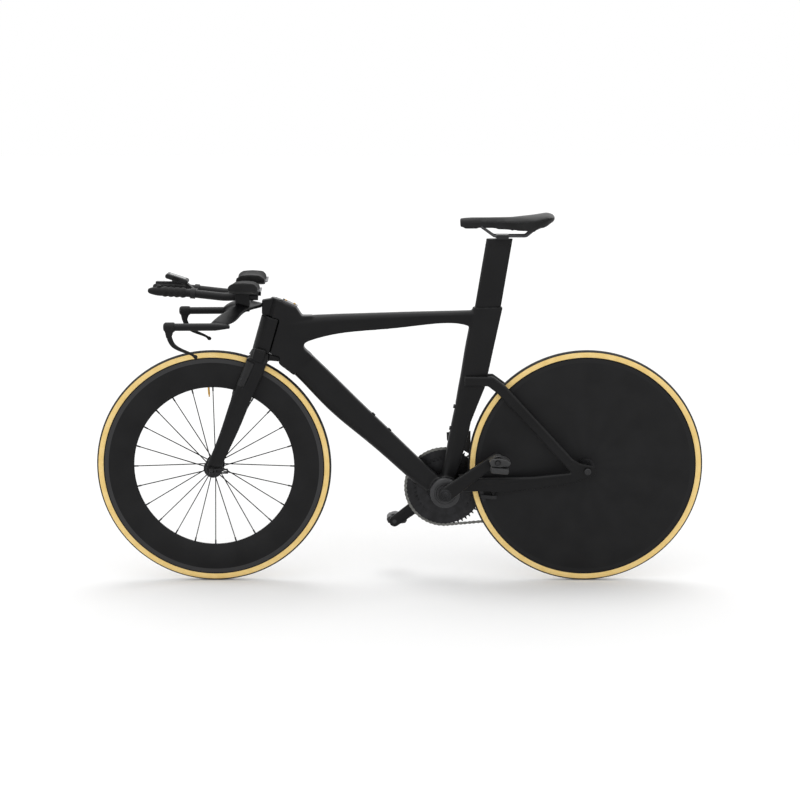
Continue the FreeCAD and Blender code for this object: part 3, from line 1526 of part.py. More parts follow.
def loop_links(lean_deg):
    """How many links the loop takes with the derailleur's cage at one angle."""
    ring = wheels_at(lean_deg)
    count = len(ring)
    spans = [tangent(ring[i], ring[(i + 1) % count]) for i in range(count)]
    links = 0.0
    for i in range(count):
        following = ring[(i + 1) % count]
        links += chain_sweep(ring[i], spans[i - 1][1], spans[i][0]) * ring[i][2] / (2 * math.pi)
        links += (wheel_point(following, spans[i][1]) - wheel_point(ring[i], spans[i][0])).Length / chain_pitch
    return links


def drive_centres():
    """The wheels with the cage at the angle where an even number of links closes the loop."""
    low, high = cage_lean_deg - cage_search_deg, cage_lean_deg + cage_search_deg
    target = 2 * round(loop_links(cage_lean_deg) / 2)
    falling = loop_links(low) > loop_links(high)
    for trial in range(cage_trial_count):
        middle = (low + high) / 2
        if (loop_links(middle) > target) == falling:
            low = middle
        else:
            high = middle
    return wheels_at((low + high) / 2)


def wheel_point(wheel, angle):
    centre, radius = wheel[0], wheel[1]
    return vec(centre.x + radius * math.cos(angle), chain_line_y, centre.z + radius * math.sin(angle))


def chain_route():
    """Roller places round the loop, and the angle of one roller on each wheel."""
    wheels_list = drive_centres()
    count = len(wheels_list)
    spans = [tangent(wheels_list[i], wheels_list[(i + 1) % count]) for i in range(count)]
    places = []
    phases = []
    carry = 0.0
    for i in range(count):
        wheel = wheels_list[i]
        arrive = spans[i - 1][1]
        leave = spans[i][0]
        sense = -wheel[3]
        sweep = chain_sweep(wheel, arrive, leave)
        step = 2 * math.pi / wheel[2]
        first = carry / chain_pitch * step
        turns = int((sweep - first) / step)
        angles = [arrive + sense * (first + step * k) for k in range(turns + 1)]
        phases.append(angles[0])
        places.extend(wheel_point(wheel, angle) for angle in angles)
        start = wheel_point(wheel, leave)
        stop = wheel_point(wheels_list[(i + 1) % count], spans[i][1])
        run = (stop - start).Length
        left = (sweep - first - turns * step) / step * chain_pitch
        along = chain_pitch - left
        line = stop - start
        line.normalize()
        while along < run - seat_gap:
            places.append(start + line * along)
            along += chain_pitch
        carry = max(0.0, along - run)
    return places, phases


def chain_plate(first, second, low_y):
    """One side plate between two rollers, round-nosed and drawn in at its waist."""
    line = second - first
    line.normalize()
    across = vec(-line.z, 0, line.x) * plate_half_height
    reach = line * plate_half_height
    half = across * plate_nose_share
    waist = across * plate_waist_share
    middle = (first + second) / 2
    points = [first - reach + half, first + across, middle + waist, second + across, second + reach + half,
              second + reach - half, second - across, middle - waist, first - across, first - reach - half]
    flat = [vec(p.x, chain_line_y + low_y, p.z) for p in points]
    return polygon_face(flat).extrude(vec(0, plate_thickness, 0))


def chain():
    """Rollers with inner and outer plates by turns, one closed loop."""
    places, phases = chain_route()
    outer_y = inner_plate_y + plate_thickness + plate_gap
    solids = []
    count = len(places)
    for index in range(count):
        place, following = places[index], places[(index + 1) % count]
        near = inner_plate_y if index % 2 else outer_y
        solids.append(chain_plate(place, following, near))
        solids.append(chain_plate(place, following, -near - plate_thickness))
        ring = [vec(place.x + roller_radius * math.cos(math.pi * k / 3), chain_line_y - roller_half_length,
                    place.z + roller_radius * math.sin(math.pi * k / 3)) for k in range(6)]
        solids.append(polygon_face(ring).extrude(vec(0, 2 * roller_half_length, 0)))
    return solids


def crank_outline(centre, side, low_y):
    """The tapering outline of a crank arm between its boss and its pedal end."""
    angle = math.radians(crank_angle_deg)
    line = vec(math.cos(angle), 0, math.sin(angle)) * -side
    across = vec(-line.z, 0, line.x)
    end = centre + line * crank_length
    tilt = (crank_boss_radius - crank_end_radius) / crank_length
    lift = math.sqrt(1 - tilt ** 2)

    def at(origin, radius, sense):
        point = origin + (line * tilt + across * (sense * lift)) * radius
        return vec(point.x, low_y, point.z)

    def far(origin, radius, sense):
        point = origin + line * (sense * radius)
        return vec(point.x, low_y, point.z)

    a, b = at(centre, crank_boss_radius, 1), at(end, crank_end_radius, 1)
    c, d = at(end, crank_end_radius, -1), at(centre, crank_boss_radius, -1)
    edges = [Part.makeLine(a, b), Part.Arc(b, far(end, crank_end_radius, 1), c).toShape(), Part.makeLine(c, d),
             Part.Arc(d, far(centre, crank_boss_radius, -1), a).toShape()]
    return Part.Face(Part.Wire(edges)), end


def crank_arm(side):
    """A crank arm; the right one carries the spindle and the spider."""
    centre = vec(bracket_x, 0, bracket_z)
    low = crank_inner_y if side > 0 else -crank_inner_y - crank_thickness
    face, end = crank_outline(centre, side, low)
    arm = face.extrude(vec(0, crank_thickness, 0))
    edges = [edge for edge in arm.Edges if edge.BoundBox.YLength < seat_gap
             and abs(edge.BoundBox.YMin - side * (crank_inner_y + crank_thickness)) < seat_gap]
    arm = arm.makeFillet(crank_thickness / 3, edges)
    outer = vec(0, crank_inner_y + crank_thickness, 0)
    inner_end = vec(0, crank_inner_y + crank_thickness / 2, 0)
    axle_hole = rod(end + vec(0, side * (crank_inner_y - cut_overrun), 0),
                    end + outer * side + vec(0, side * cut_overrun, 0), pedal_axle_radius)
    if side < 0:
        socket = rod(centre - outer, centre, spindle_radius + running_gap)
        return arm.cut([axle_hole, socket])
    spindle = rod(centre - outer, centre + inner_end, spindle_radius)
    spider_y = chain_line_y + ring_thickness / 2
    spider = turned([(0, crank_inner_y), (crank_boss_radius, crank_inner_y),
                     (spider_radius, spider_y + spider_thickness),
                     (spider_radius, spider_y), (large_ring_bore, spider_y),
                     (large_ring_bore, spider_y + spider_thickness), (0, spider_y + spider_thickness)], centre)
    return arm.cut(axle_hole).fuse([spindle, spider])


def chainrings():
    places, phases = chain_route()
    centre = vec(bracket_x, 0, bracket_z)
    large = toothed_plate(centre, large_ring_teeth, phases[0], large_ring_bore, ring_thickness, chain_line_y)
    small_y = chain_line_y - ring_pitch_y
    small = toothed_plate(centre, small_ring_teeth, 0.0, small_ring_bore, ring_thickness, small_y)
    spacers = []
    for index in range(bolt_count):
        angle = 2 * math.pi * index / bolt_count
        foot = vec(centre.x + bolt_circle_radius * math.cos(angle), small_y + ring_thickness / 2,
                   centre.z + bolt_circle_radius * math.sin(angle))
        spacers.append(rod(foot, foot + vec(0, ring_pitch_y - ring_thickness, 0), spacer_radius))
    save("chainring_large", large)
    save("chainring_small", small.fuse(spacers))


def pedal_end(side):
    angle = math.radians(crank_angle_deg)
    line = vec(math.cos(angle), 0, math.sin(angle)) * -side
    return vec(bracket_x, 0, bracket_z) + line * crank_length


def pedal_axle(side):
    """A stepped axle screwed into the crank's end, with a collar outside it."""
    end = pedal_end(side)
    face = crank_inner_y + crank_thickness
    start = end + vec(0, side * crank_inner_y, 0)
    shaft = rod(start, end + vec(0, side * (face + pedal_axle_length), 0), pedal_axle_radius)
    collar = rod(end + vec(0, side * face, 0), end + vec(0, side * (face + pedal_inner_gap - body_gap), 0),
                 2 * pedal_axle_radius)
    return shaft.fuse(collar)


def pedal(side):
    """A clipless pedal body about its axle, with a slot for the rear catch."""
    end = pedal_end(side)
    start = crank_inner_y + crank_thickness + pedal_inner_gap
    corners = []
    for along, up in pedal_body_shares:
        corners.append((end + vec(along * pedal_length, 0, up * pedal_height), pedal_rear_slot / 2))
    low, high = sorted((side * start, side * (start + pedal_width)))
    body = rounded_slab(corners, low, high)
    bore = rod(end + vec(0, side * (start - cut_overrun), 0),
               end + vec(0, side * (start + pedal_width + cut_overrun), 0), pedal_axle_radius + running_gap)
    slot = Part.makeBox(pedal_length / 3, pedal_width / 2, pedal_rear_slot,
                        end + vec(pedal_length / 3, side * (start + pedal_width / 2) - pedal_width / 4,
                                  -pedal_height / 2))
    return body.cut([bore, slot])


def cassette_y(index):
    """The middle of one sprocket, counted inwards from the smallest."""
    return chain_line_y + (driven_sprocket - index) * sprocket_pitch_y


def cassette():
    """The freehub body and its sprockets, each a toothed plate, with spacers between them."""
    places, phases = chain_route()
    centre = vec(rear_axle_x, 0, axle_height)
    inner = disc_centre_half_width + rear_flange_width + body_gap
    outer = cassette_y(0) + sprocket_thickness
    body = tube(centre + vec(0, inner, 0), centre + vec(0, outer, 0), freehub_radius, freehub_inner_radius)
    pieces = [body]
    bore = freehub_radius + sprocket_bore_gap
    for index, teeth in enumerate(sprocket_teeth):
        phase = phases[1] if index == driven_sprocket else 0.0
        middle = cassette_y(index)
        pieces.append(toothed_plate(centre, teeth, phase, bore, sprocket_thickness, middle))
        if index:
            gap_low = middle + sprocket_thickness / 2
            gap_high = gap_low + sprocket_pitch_y - sprocket_thickness
            pieces.append(tube(centre + vec(0, gap_low, 0), centre + vec(0, gap_high, 0),
                               bore + plate_thickness, bore))
    return pieces


def pulley(which):
    places, phases = chain_route()
    wheel = drive_centres()[which]
    return toothed_plate(wheel[0], pulley_teeth, phases[which], pulley_bore_radius + running_gap, pulley_thickness,
                         chain_line_y)


def link_pivots():
    """The upper and the lower pivot of the derailleur's swinging link, whose axes lie along X."""
    bolt = spot(hanger_bore_share)
    guide = drive_centres()[2][0]
    upper = vec(bolt.x, link_y, bolt.z - link_drop)
    return upper, vec(bolt.x, link_y, guide.z - link_pivot_low)


def link_ears(pivot, low_y, high_y, low_z, high_z):
    """Two ears with a pin between them that hold one end of the link."""
    inner = link_half_length + body_gap
    ears = []
    for side in (-1, 1):
        start = min(side * inner, side * (inner + ear_thickness))
        ears.append(Part.makeBox(ear_thickness, high_y - low_y, high_z - low_z,
                                 vec(pivot.x + start, low_y, low_z)))
    reach = vec(inner + ear_thickness, 0, 0)
    return ears + [rod(pivot - reach, pivot + reach, link_pin_radius)]


def derailleur_knuckle():
    """The knuckle bolted to the hanger, with the ears that hold the link's upper end."""
    bolt = spot(hanger_bore_share)
    upper, lower = link_pivots()
    start = rear_dropout_inner + dropout_thickness
    stop = start + knuckle_width
    boss = rod(bolt + vec(0, start, 0), bolt + vec(0, stop, 0), knuckle_radius)
    pin = rod(bolt + vec(0, rear_dropout_inner, 0), bolt + vec(0, stop, 0), hanger_bore_radius - running_gap)
    half = link_half_length + body_gap + ear_thickness
    shelf = upper.z + link_radius + steer_gap
    block = Part.makeBox(2 * half, knuckle_width, bolt.z - shelf, vec(bolt.x - half, start, shelf))
    ears = link_ears(upper, upper.y - link_radius, stop, upper.z - link_radius, shelf + ear_thickness)
    return fused([boss, pin, block] + ears)


def derailleur_link():
    """The swinging link between the knuckle and the cage, bored at both ends."""
    upper, lower = link_pivots()
    half = vec(link_half_length, 0, 0)
    past = half + vec(cut_overrun, 0, 0)
    ends = [rod(p - half, p + half, link_radius) for p in (upper, lower)]
    web = Part.makeBox(2 * link_half_length, 2 * link_web_half, upper.z - lower.z,
                       lower - vec(link_half_length, link_web_half, 0))
    holes = [rod(p - past, p + past, link_pin_radius + running_gap) for p in (upper, lower)]
    return fused(ends + [web]).cut(holes)


def derailleur_cage():
    """Two plates that hold the jockey wheels, the wheels' bolts and the ears for the link."""
    guide, tension = drive_centres()[2][0], drive_centres()[3][0]
    upper, lower = link_pivots()
    line = tension - guide
    line.normalize()
    half = cage_plate_width / 2
    across = vec(-line.z, 0, line.x)
    nose = across * (half * plate_nose_share)
    corners = [guide - line * half + nose, guide - line * half - nose, guide - across * half,
               tension - across * half, tension + line * half - nose, tension + line * half + nose,
               tension + across * half, guide + across * half]
    pieces = []
    reach = cage_plate_half + cage_plate_thickness
    for low in (chain_line_y - reach, chain_line_y + cage_plate_half):
        pieces.append(slab(corners, low, low + cage_plate_thickness))
    for centre in (guide, tension):
        pieces.append(rod(vec(centre.x, chain_line_y - reach - cage_bolt_head, centre.z),
                          vec(centre.x, chain_line_y + reach, centre.z), pulley_bore_radius))
    outer = chain_line_y + cage_plate_half
    ears = link_ears(lower, outer, lower.y + link_radius, lower.z - link_radius, lower.z + link_radius)
    spread = link_half_length + body_gap + ear_thickness
    back = Part.makeBox(2 * spread, ear_thickness, 2 * link_radius,
                        vec(lower.x - spread, outer, lower.z - link_radius))
    return fused(pieces + ears + [back])


def front_derailleur_cage():
    """The front derailleur's cage: two curved plates beside the chain, joined over it and behind it."""
    centre = vec(bracket_x, 0, bracket_z)
    inner_radius = pitch_radius(large_ring_teeth) + 2 * plate_half_height
    outer_radius = inner_radius + front_cage_depth
    angles = [math.radians(front_cage_start_deg + front_cage_sweep_deg * k / front_cage_step_count)
              for k in range(front_cage_step_count + 1)]

    def arc_slab(steps, low_radius, low_y, high_y):
        inside = [vec(centre.x + low_radius * math.cos(a), 0, centre.z + low_radius * math.sin(a)) for a in steps]
        outside = [vec(centre.x + outer_radius * math.cos(a), 0, centre.z + outer_radius * math.sin(a))
                   for a in reversed(steps)]
        return slab(inside + outside, low_y, high_y)

    half = inner_plate_y + 2 * plate_thickness + front_cage_inner_gap
    inner = chain_line_y - half - front_cage_plate
    outer = chain_line_y + half + front_cage_plate
    pieces = [arc_slab(angles, inner_radius, inner, chain_line_y - half),
              arc_slab(angles, inner_radius, chain_line_y + half, outer),
              arc_slab(angles[:2], inner_radius, inner, outer),
              arc_slab(angles[-2:], outer_radius - front_cage_plate, inner, outer)]
    arm = slab([spot(p) for p in front_arm_shares], inner - front_arm_width, inner + front_cage_plate)
    holes = [rod(foot, foot + vec(0, chain_line_y, 0), tab_pin_radius + running_gap) for foot in tab_pins()]
    return fused(pieces + [arm]).cut(holes)


def rear_brake_arm():
    """The right rear arm, swinging about its upright pin, with the brake block at its tip."""
    pin = spot(rear_pin_share, rear_pin_y)
    low = axle_height + rear_arm_low_share * wheelbase
    tip = spot(rear_pad_share)
    inner = rim_half_width + pad_block_gap
    back = inner + pad_block_thickness
    half = pad_block_height / 2
    profile = [vec(pin.x + 2 * half, pin.y - half, low), vec(pin.x + 2 * half, pin.y + half, low),
               vec(pin.x - half, pin.y + rear_arm_shoulder_share * half, low), vec(tip.x - half, back + half, low),
               vec(tip.x - half, back, low), vec(tip.x + half, back, low)]
    arm = polygon_face(profile).extrude(vec(0, 0, rear_arm_height))
    block = Part.makeBox(pad_block_height, pad_block_thickness, pad_block_length,
                         vec(tip.x - half, inner, tip.z - pad_block_length / 2))
    block = turn(block, tip, vec(0, 1, 0), rear_pad_lean_deg)
    hole = rod(vec(pin.x, pin.y, low - cut_overrun), vec(pin.x, pin.y, low + rear_arm_height + cut_overrun),
               brake_pin_radius + running_gap)
    return fused([arm, block]).cut(hole)


def drive_parts():
    save("chain", chain())
    for side, name in ((-1, "left"), (1, "right")):
        save("crank_arm_" + name, crank_arm(side))
        save("pedal_" + name, pedal(side))
    save("pedal_axles", [pedal_axle(-1), pedal_axle(1)])
    chainrings()
    save("cassette", cassette())
    save("guide_pulley", pulley(2))
    save("tension_pulley", pulley(3))
    save("derailleur_cage", derailleur_cage())
    save("derailleur_knuckle", derailleur_knuckle())
    save("derailleur_link", derailleur_link())
    save("front_derailleur_cage", front_derailleur_cage())
    arm = rear_brake_arm()
    save("rear_brake_arm_right", arm)
    save("rear_brake_arm_left", mirrored(arm))


def seatpost():
    return post_shape(axle_height + post_foot_share * wheelbase, spot(post_top_share).z, 0.0)


def rail(radius):
    """The right rail: its ends rise to the saddle's underside, its middle runs level in the clamp."""
    points = [spot(p, rail_y * share) for p, share in zip(rail_shares, rail_side_shares)]
    return pipe(points, rail_bend_radius, radius)


def saddle_clamp():
    """The head on the post: a cradle under the rails and a bolted cap on each side."""
    centre = spot(clamp_share)
    base = Part.makeBox(clamp_length, 2 * clamp_half_width, clamp_height,
                        centre - vec(clamp_length / 2, clamp_half_width, 0))
    groove = rail(rail_radius + running_gap)
    return base.cut([groove, mirrored(groove)])


def saddle_section(index):
    """One cross-section of the saddle: a crowned top, rounded flanks and a hollow underside."""
    x = spot(saddle_nose_share).x + saddle_station_shares[index] * saddle_length
    half = saddle_half_shares[index] * saddle_half_width
    base = spot(saddle_nose_share).z
    top = base + saddle_rise * saddle_top_shares[index] / 2
    low = top - saddle_depth * saddle_depth_shares[index]
    flank = top - (top - low) * saddle_flank_share / 2
    inside = between(low, top, saddle_flank_share)

    def at(y, z):
        return vec(x, y, z)

    edges = [Part.Arc(at(-half, flank), at(0, top), at(half, flank)).toShape(),
             Part.makeLine(at(half, flank), at(half * saddle_flank_share, low)),
             Part.Arc(at(half * saddle_flank_share, low), at(0, inside - saddle_depth / 4),
                      at(-half * saddle_flank_share, low)).toShape(),
             Part.makeLine(at(-half * saddle_flank_share, low), at(-half, flank))]
    return Part.Wire(edges)


def saddle():
    sections = [saddle_section(index) for index in range(len(saddle_station_shares))]
    groove = rail(rail_radius + running_gap)
    return blade_loft(sections, True).cut([groove, mirrored(groove)])


def seat_parts():
    save("seatpost", seatpost())
    save("saddle_clamp", saddle_clamp())
    right = rail(rail_radius)
    save("saddle_rails", [right, mirrored(right)])
    save("saddle", saddle())

cassette_outer_y = cassette_y(0) + sprocket_thickness
os.makedirs("parts", exist_ok=True)
wheels()
frame_parts()
steering_parts()
drive_parts()
seat_parts()
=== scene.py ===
import json
import math

import bpy
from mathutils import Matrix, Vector
from mathutils.bvhtree import BVHTree


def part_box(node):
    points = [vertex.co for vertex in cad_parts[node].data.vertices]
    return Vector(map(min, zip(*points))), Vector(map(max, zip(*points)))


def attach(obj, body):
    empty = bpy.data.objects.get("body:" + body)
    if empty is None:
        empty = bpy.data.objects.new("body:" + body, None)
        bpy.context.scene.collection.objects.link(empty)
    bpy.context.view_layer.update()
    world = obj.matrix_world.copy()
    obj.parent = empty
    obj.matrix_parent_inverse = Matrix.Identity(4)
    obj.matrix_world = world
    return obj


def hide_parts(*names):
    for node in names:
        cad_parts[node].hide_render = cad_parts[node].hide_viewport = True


# Time trial bicycle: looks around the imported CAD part. Metres, +X to the rear, +Z up, -Y the left side.
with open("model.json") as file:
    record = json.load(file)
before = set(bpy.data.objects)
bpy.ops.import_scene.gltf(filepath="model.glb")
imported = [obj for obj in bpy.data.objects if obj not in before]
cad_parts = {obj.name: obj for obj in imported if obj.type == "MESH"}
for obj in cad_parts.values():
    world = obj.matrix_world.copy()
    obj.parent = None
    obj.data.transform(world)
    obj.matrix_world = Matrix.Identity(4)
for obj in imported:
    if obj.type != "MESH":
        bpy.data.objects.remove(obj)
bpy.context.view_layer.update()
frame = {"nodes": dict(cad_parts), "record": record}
nodes = frame["nodes"]
record = frame["record"]

MM = 0.001
SIDES = ((-1, "left"), (1, "right"))
SMOOTH_ANGLE = math.radians(40)
LEFT, RIGHT, DOWN = Vector((0, -1, 0)), Vector((0, 1, 0)), Vector((0, 0, -1))
body_of = {node: body for body, members in record["behaviour"]["bodies"].items() for node in members}
slot_of = {part["node"]: part["material_slot"] for part in record["subparts"]}


def axle_of(node):
    """The point on the bicycle's middle plane that a turned CAD node runs round."""
    low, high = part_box(node)
    return Vector(((low.x + high.x) / 2, 0.0, (low.z + high.z) / 2))


FRONT_AXLE = axle_of("front_hub")
REAR_AXLE = axle_of("rear_hub")
CRANK_AXIS = Vector((129.7, 0.0, 265.0)) * MM


# Colours and nodes
def linear(code):
    """A hex sRGB colour as linear red, green, blue and alpha."""
    parts = [int(code[i:i + 2], 16) / 255 for i in (1, 3, 5)]
    return [p / 12.92 if p <= 0.04045 else ((p + 0.055) / 1.055) ** 2.4 for p in parts] + [1.0]


def add(tree, kind, values=None, links=None):
    """One shader node, with its properties or input values and the sockets that feed it."""
    node = tree.nodes.new("ShaderNode" + kind)
    for name, value in (values or {}).items():
        if isinstance(name, int) or name in node.inputs:
            node.inputs[name].default_value = value
        else:
            setattr(node, name, value)
    for name, socket in (links or {}).items():
        tree.links.new(socket, node.inputs[name])
    return node


def start(name, values):
    """A new material with its Principled shader at constant values, and its Object coordinates."""
    material = bpy.data.materials.new(name)
    material.use_nodes = True
    tree = material.node_tree
    shader = tree.nodes["Principled BSDF"]
    for socket, value in values.items():
        shader.inputs[socket].default_value = value
    place = add(tree, "TexCoord").outputs["Object"]
    return material, tree, shader, place


def ramp(tree, fac, stops, constant=False):
    """A colour ramp over one value, from (position, hex) stops."""
    node = add(tree, "ValToRGB", links={"Fac": fac})
    if constant:
        node.color_ramp.interpolation = "CONSTANT"
    elements = node.color_ramp.elements
    while len(elements) < len(stops):
        elements.new(0.5)
    for element, (position, code) in zip(elements, stops):
        element.position = position
        element.color = linear(code)
    return node.outputs["Color"]


def per_mm(size):
    """A texture's scale so that one of its features is this many millimetres across."""
    return 1 / (size * MM)


def around(tree, place, centre):
    """The angle about an axle and the distance from it, both in the wheel's plane."""
    arm = add(tree, "VectorMath", {"operation": "SUBTRACT", 1: centre}, {0: place})
    split = add(tree, "SeparateXYZ", links={0: arm.outputs["Vector"]})
    flat = add(tree, "CombineXYZ", links={"X": split.outputs["X"], "Z": split.outputs["Z"]})
    reach = add(tree, "VectorMath", {"operation": "LENGTH"}, {0: flat.outputs["Vector"]})
    angle = add(tree, "Math", {"operation": "ARCTAN2"}, {0: split.outputs["Z"], 1: split.outputs["X"]})
    return angle.outputs["Value"], reach.outputs["Value"]


def bumped(tree, shader, height, depth_mm, strength):
    """Let one height value press or lift the surface by a depth in millimetres."""
    bump = add(tree, "Bump", {"Strength": strength, "Distance": depth_mm * MM}, {"Height": height})
    tree.links.new(bump.outputs["Normal"], shader.inputs["Normal"])


def painted_carbon():
    """Moulded carbon fibre under matte black lacquer: near black, a broad soft sheen, faint orange peel."""
    material, tree, shader, place = start("painted_carbon", {"IOR": 1.5, "Specular IOR Level": 0.15})
    cloud = add(tree, "TexNoise", {"Scale": per_mm(110), "Detail": 4.0}, {"Vector": place}).outputs["Fac"]
    peel = add(tree, "TexNoise", {"Scale": per_mm(2.2), "Detail": 2.0}, {"Vector": place}).outputs["Fac"]
    colour = ramp(tree, cloud, ((0.3, "#0e0e0f"), (0.7, "#141415")))
    rough = add(tree, "MapRange", {"To Min": 0.34, "To Max": 0.46}, {"Value": cloud})
    tree.links.new(colour, shader.inputs["Base Color"])
    tree.links.new(rough.outputs["Result"], shader.inputs["Roughness"])
    bumped(tree, shader, peel, depth_mm=0.05, strength=0.25)
    return material


def rim_carbon(name, centre, tint, track_tones):
    """A wheel's carbon shell: satin black with faint lay-up sectors, and a machined grey brake track."""
    lay_up_sectors = 16.0
    track_start = 301.3 * MM
    line_spacing = 1.5 * MM
    material, tree, shader, place = start(name, {"IOR": 1.5, "Specular IOR Level": 0.15})
    angle, reach = around(tree, place, centre)
    cloud = add(tree, "TexNoise", {"Scale": per_mm(70), "Detail": 4.0}, {"Vector": place}).outputs["Fac"]
    # The lay-up's sectors show as a barely changing tone.
    sector = add(tree, "Math", {"operation": "MULTIPLY", 1: lay_up_sectors}, {0: angle}).outputs["Value"]
    wave = add(tree, "Math", {"operation": "SINE"}, {0: sector}).outputs["Value"]
    tone = add(tree, "MapRange", {"From Min": -1.0, "To Min": -0.05, "To Max": 0.05}, {"Value": wave})
    mixed = add(tree, "Math", {"operation": "ADD"}, {0: cloud, 1: tone.outputs["Result"]}).outputs["Value"]
    shell = ramp(tree, mixed, tint)
    # Turned lines on the brake track, drawn 1.5 mm apart so that they show.
    groove = add(tree, "Math", {"operation": "MULTIPLY", 1: 2 * math.pi / line_spacing}, {0: reach})
    line = add(tree, "Math", {"operation": "SINE"}, {0: groove.outputs["Value"]}).outputs["Value"]
    shine = add(tree, "MapRange", {"From Min": -1.0}, {"Value": line}).outputs["Result"]
    track = ramp(tree, shine, track_tones)
    zone = add(tree, "Math", {"operation": "GREATER_THAN", 1: track_start}, {0: reach}).outputs["Value"]
    colour = add(tree, "Mix", {"data_type": "RGBA"}, {"Factor": zone, "A": shell, "B": track})
    rough = add(tree, "MapRange", {"To Min": 0.44, "To Max": 0.34}, {"Value": zone}).outputs["Result"]
    tree.links.new(colour.outputs[2], shader.inputs["Base Color"])
    tree.links.new(rough, shader.inputs["Roughness"])
    lined = add(tree, "Math", {"operation": "MULTIPLY"}, {0: line, 1: zone}).outputs["Value"]
    bumped(tree, shader, lined, depth_mm=0.04, strength=0.3)
    return material


def open_tyre(name, centre):
    """A handmade tyre: a black rubber tread over tan cotton sidewalls, with painted shade as a dark band
    where the tyre meets the rim.
    """
    bead_radius, tread_radius, wall_radius = 310 * MM, 336 * MM, 323.5 * MM
    thread_spacing = 2 * MM
    material, tree, shader, place = start(name, {"IOR": 1.45, "Specular IOR Level": 0.25})
    angle, reach = around(tree, place, centre)
    across = add(tree, "MapRange", {"From Min": bead_radius, "From Max": tread_radius},
                 {"Value": reach}).outputs["Result"]
    # Sidewall threads cross at 45 degrees; real ones are 0.3 mm apart and are drawn at 2 mm to show.
    along = add(tree, "Math", {"operation": "MULTIPLY", 1: wall_radius}, {0: angle}).outputs["Value"]
    rise = add(tree, "Math", {"operation": "ADD"}, {0: along, 1: reach}).outputs["Value"]
    fall = add(tree, "Math", {"operation": "SUBTRACT"}, {0: along, 1: reach}).outputs["Value"]
    threads = []
    for slope in (rise, fall):
        turns = add(tree, "Math", {"operation": "MULTIPLY", 1: 2 * math.pi / thread_spacing}, {0: slope})
        threads.append(add(tree, "Math", {"operation": "SINE"}, {0: turns.outputs["Value"]}).outputs["Value"])
    weave = add(tree, "Math", {"operation": "MAXIMUM"}, {0: threads[0], 1: threads[1]}).outputs["Value"]
    cloud = add(tree, "TexNoise", {"Scale": per_mm(24), "Detail": 5.0}, {"Vector": place}).outputs["Fac"]
    woven = add(tree, "MapRange", {"From Min": -1.0, "To Min": -0.08, "To Max": 0.08}, {"Value": weave})
    tone = add(tree, "Math", {"operation": "ADD"}, {0: cloud, 1: woven.outputs["Result"]}).outputs["Value"]
    cotton = ramp(tree, tone, ((0.15, "#e7c577"), (0.5, "#f0cf86"), (0.85, "#f7da99")))
    tread_black_and_bead_shade = ramp(tree, cloud, ((0.3, "#161616"), (0.7, "#242424")))
    # Painted shade: next to the rim the wall is drawn in the tread's black, for the shade in the hollow
    # between rim and tyre
    cotton_between_shade_and_tread = ramp(tree, across, ((0.0, "#000000"), (0.23, "#ffffff"), (0.785, "#000000")), constant=True)
    colour = add(tree, "Mix", {"data_type": "RGBA"}, {"Factor": cotton_between_shade_and_tread, "A": tread_black_and_bead_shade, "B": cotton})
    rough = add(tree, "MapRange", {"To Min": 0.6, "To Max": 0.72}, {"Value": cloud}).outputs["Result"]
    tree.links.new(colour.outputs[2], shader.inputs["Base Color"])
    tree.links.new(rough, shader.inputs["Roughness"])
    bumped(tree, shader, weave, depth_mm=0.1, strength=0.25)
    return material


def plain_finish(name, dark, light, rough, grain_mm, metallic=0.0, depth_mm=0.03, specular=0.5):
    """A surface whose tone and gloss drift over a grain of one size, for metal and moulded pieces."""
    material, tree, shader, place = start(name, {"Metallic": metallic, "Specular IOR Level": specular})
    # Real grain is about 0.1 mm across; each finish draws it coarser, so that it shows.
    grain_size = {"Scale": per_mm(grain_mm), "Detail": 4.0}
    grain = add(tree, "TexNoise", grain_size, {"Vector": place}).outputs["Fac"]
    drift = add(tree, "TexNoise", {"Scale": per_mm(40), "Detail": 3.0}, {"Vector": place}).outputs["Fac"]
    both = add(tree, "Math", {"operation": "MULTIPLY_ADD", 1: 0.5, 2: 0.25}, {0: drift}).outputs["Value"]
    tone = add(tree, "Math", {"operation": "MULTIPLY_ADD", 1: 0.4}, {0: grain, 2: both}).outputs["Value"]
    low, high = rough
    gloss = add(tree, "MapRange", {"To Min": low, "To Max": high}, {"Value": drift}).outputs["Result"]
    tree.links.new(ramp(tree, tone, ((0.4, dark), (0.9, light))), shader.inputs["Base Color"])
    tree.links.new(gloss, shader.inputs["Roughness"])
    bumped(tree, shader, grain, depth_mm, strength=0.3)
    return material


def pebbled(name, dark, light, pebble_mm, depth_mm, rough):
    """Rubber or grained cover: small rounded pebbles, with painted shade as darker lines in the grooves
    between them.
    """
    constants = {"IOR": 1.5, "Specular IOR Level": 0.16, "Sheen Weight": 0.03}
    material, tree, shader, place = start(name, constants)
    cells = add(tree, "TexVoronoi", {"Scale": per_mm(pebble_mm)}, {"Vector": place}).outputs["Distance"]
    drift = add(tree, "TexNoise", {"Scale": per_mm(30), "Detail": 4.0}, {"Vector": place}).outputs["Fac"]
    # Painted shade: the tone darkens towards each pebble's edge, in the grooves that the bump presses in
    tone = add(tree, "Math", {"operation": "MULTIPLY_ADD", 1: -0.4}, {0: cells, 2: drift}).outputs["Value"]
    low, high = rough
    gloss = add(tree, "MapRange", {"To Min": low, "To Max": high}, {"Value": drift}).outputs["Result"]
    tree.links.new(ramp(tree, tone, ((0.15, dark), (0.6, light))), shader.inputs["Base Color"])
    tree.links.new(gloss, shader.inputs["Roughness"])
    lifted = add(tree, "Math", {"operation": "MULTIPLY", 1: -1.0}, {0: cells}).outputs["Value"]
    bumped(tree, shader, lifted, depth_mm, strength=0.4)
    return material


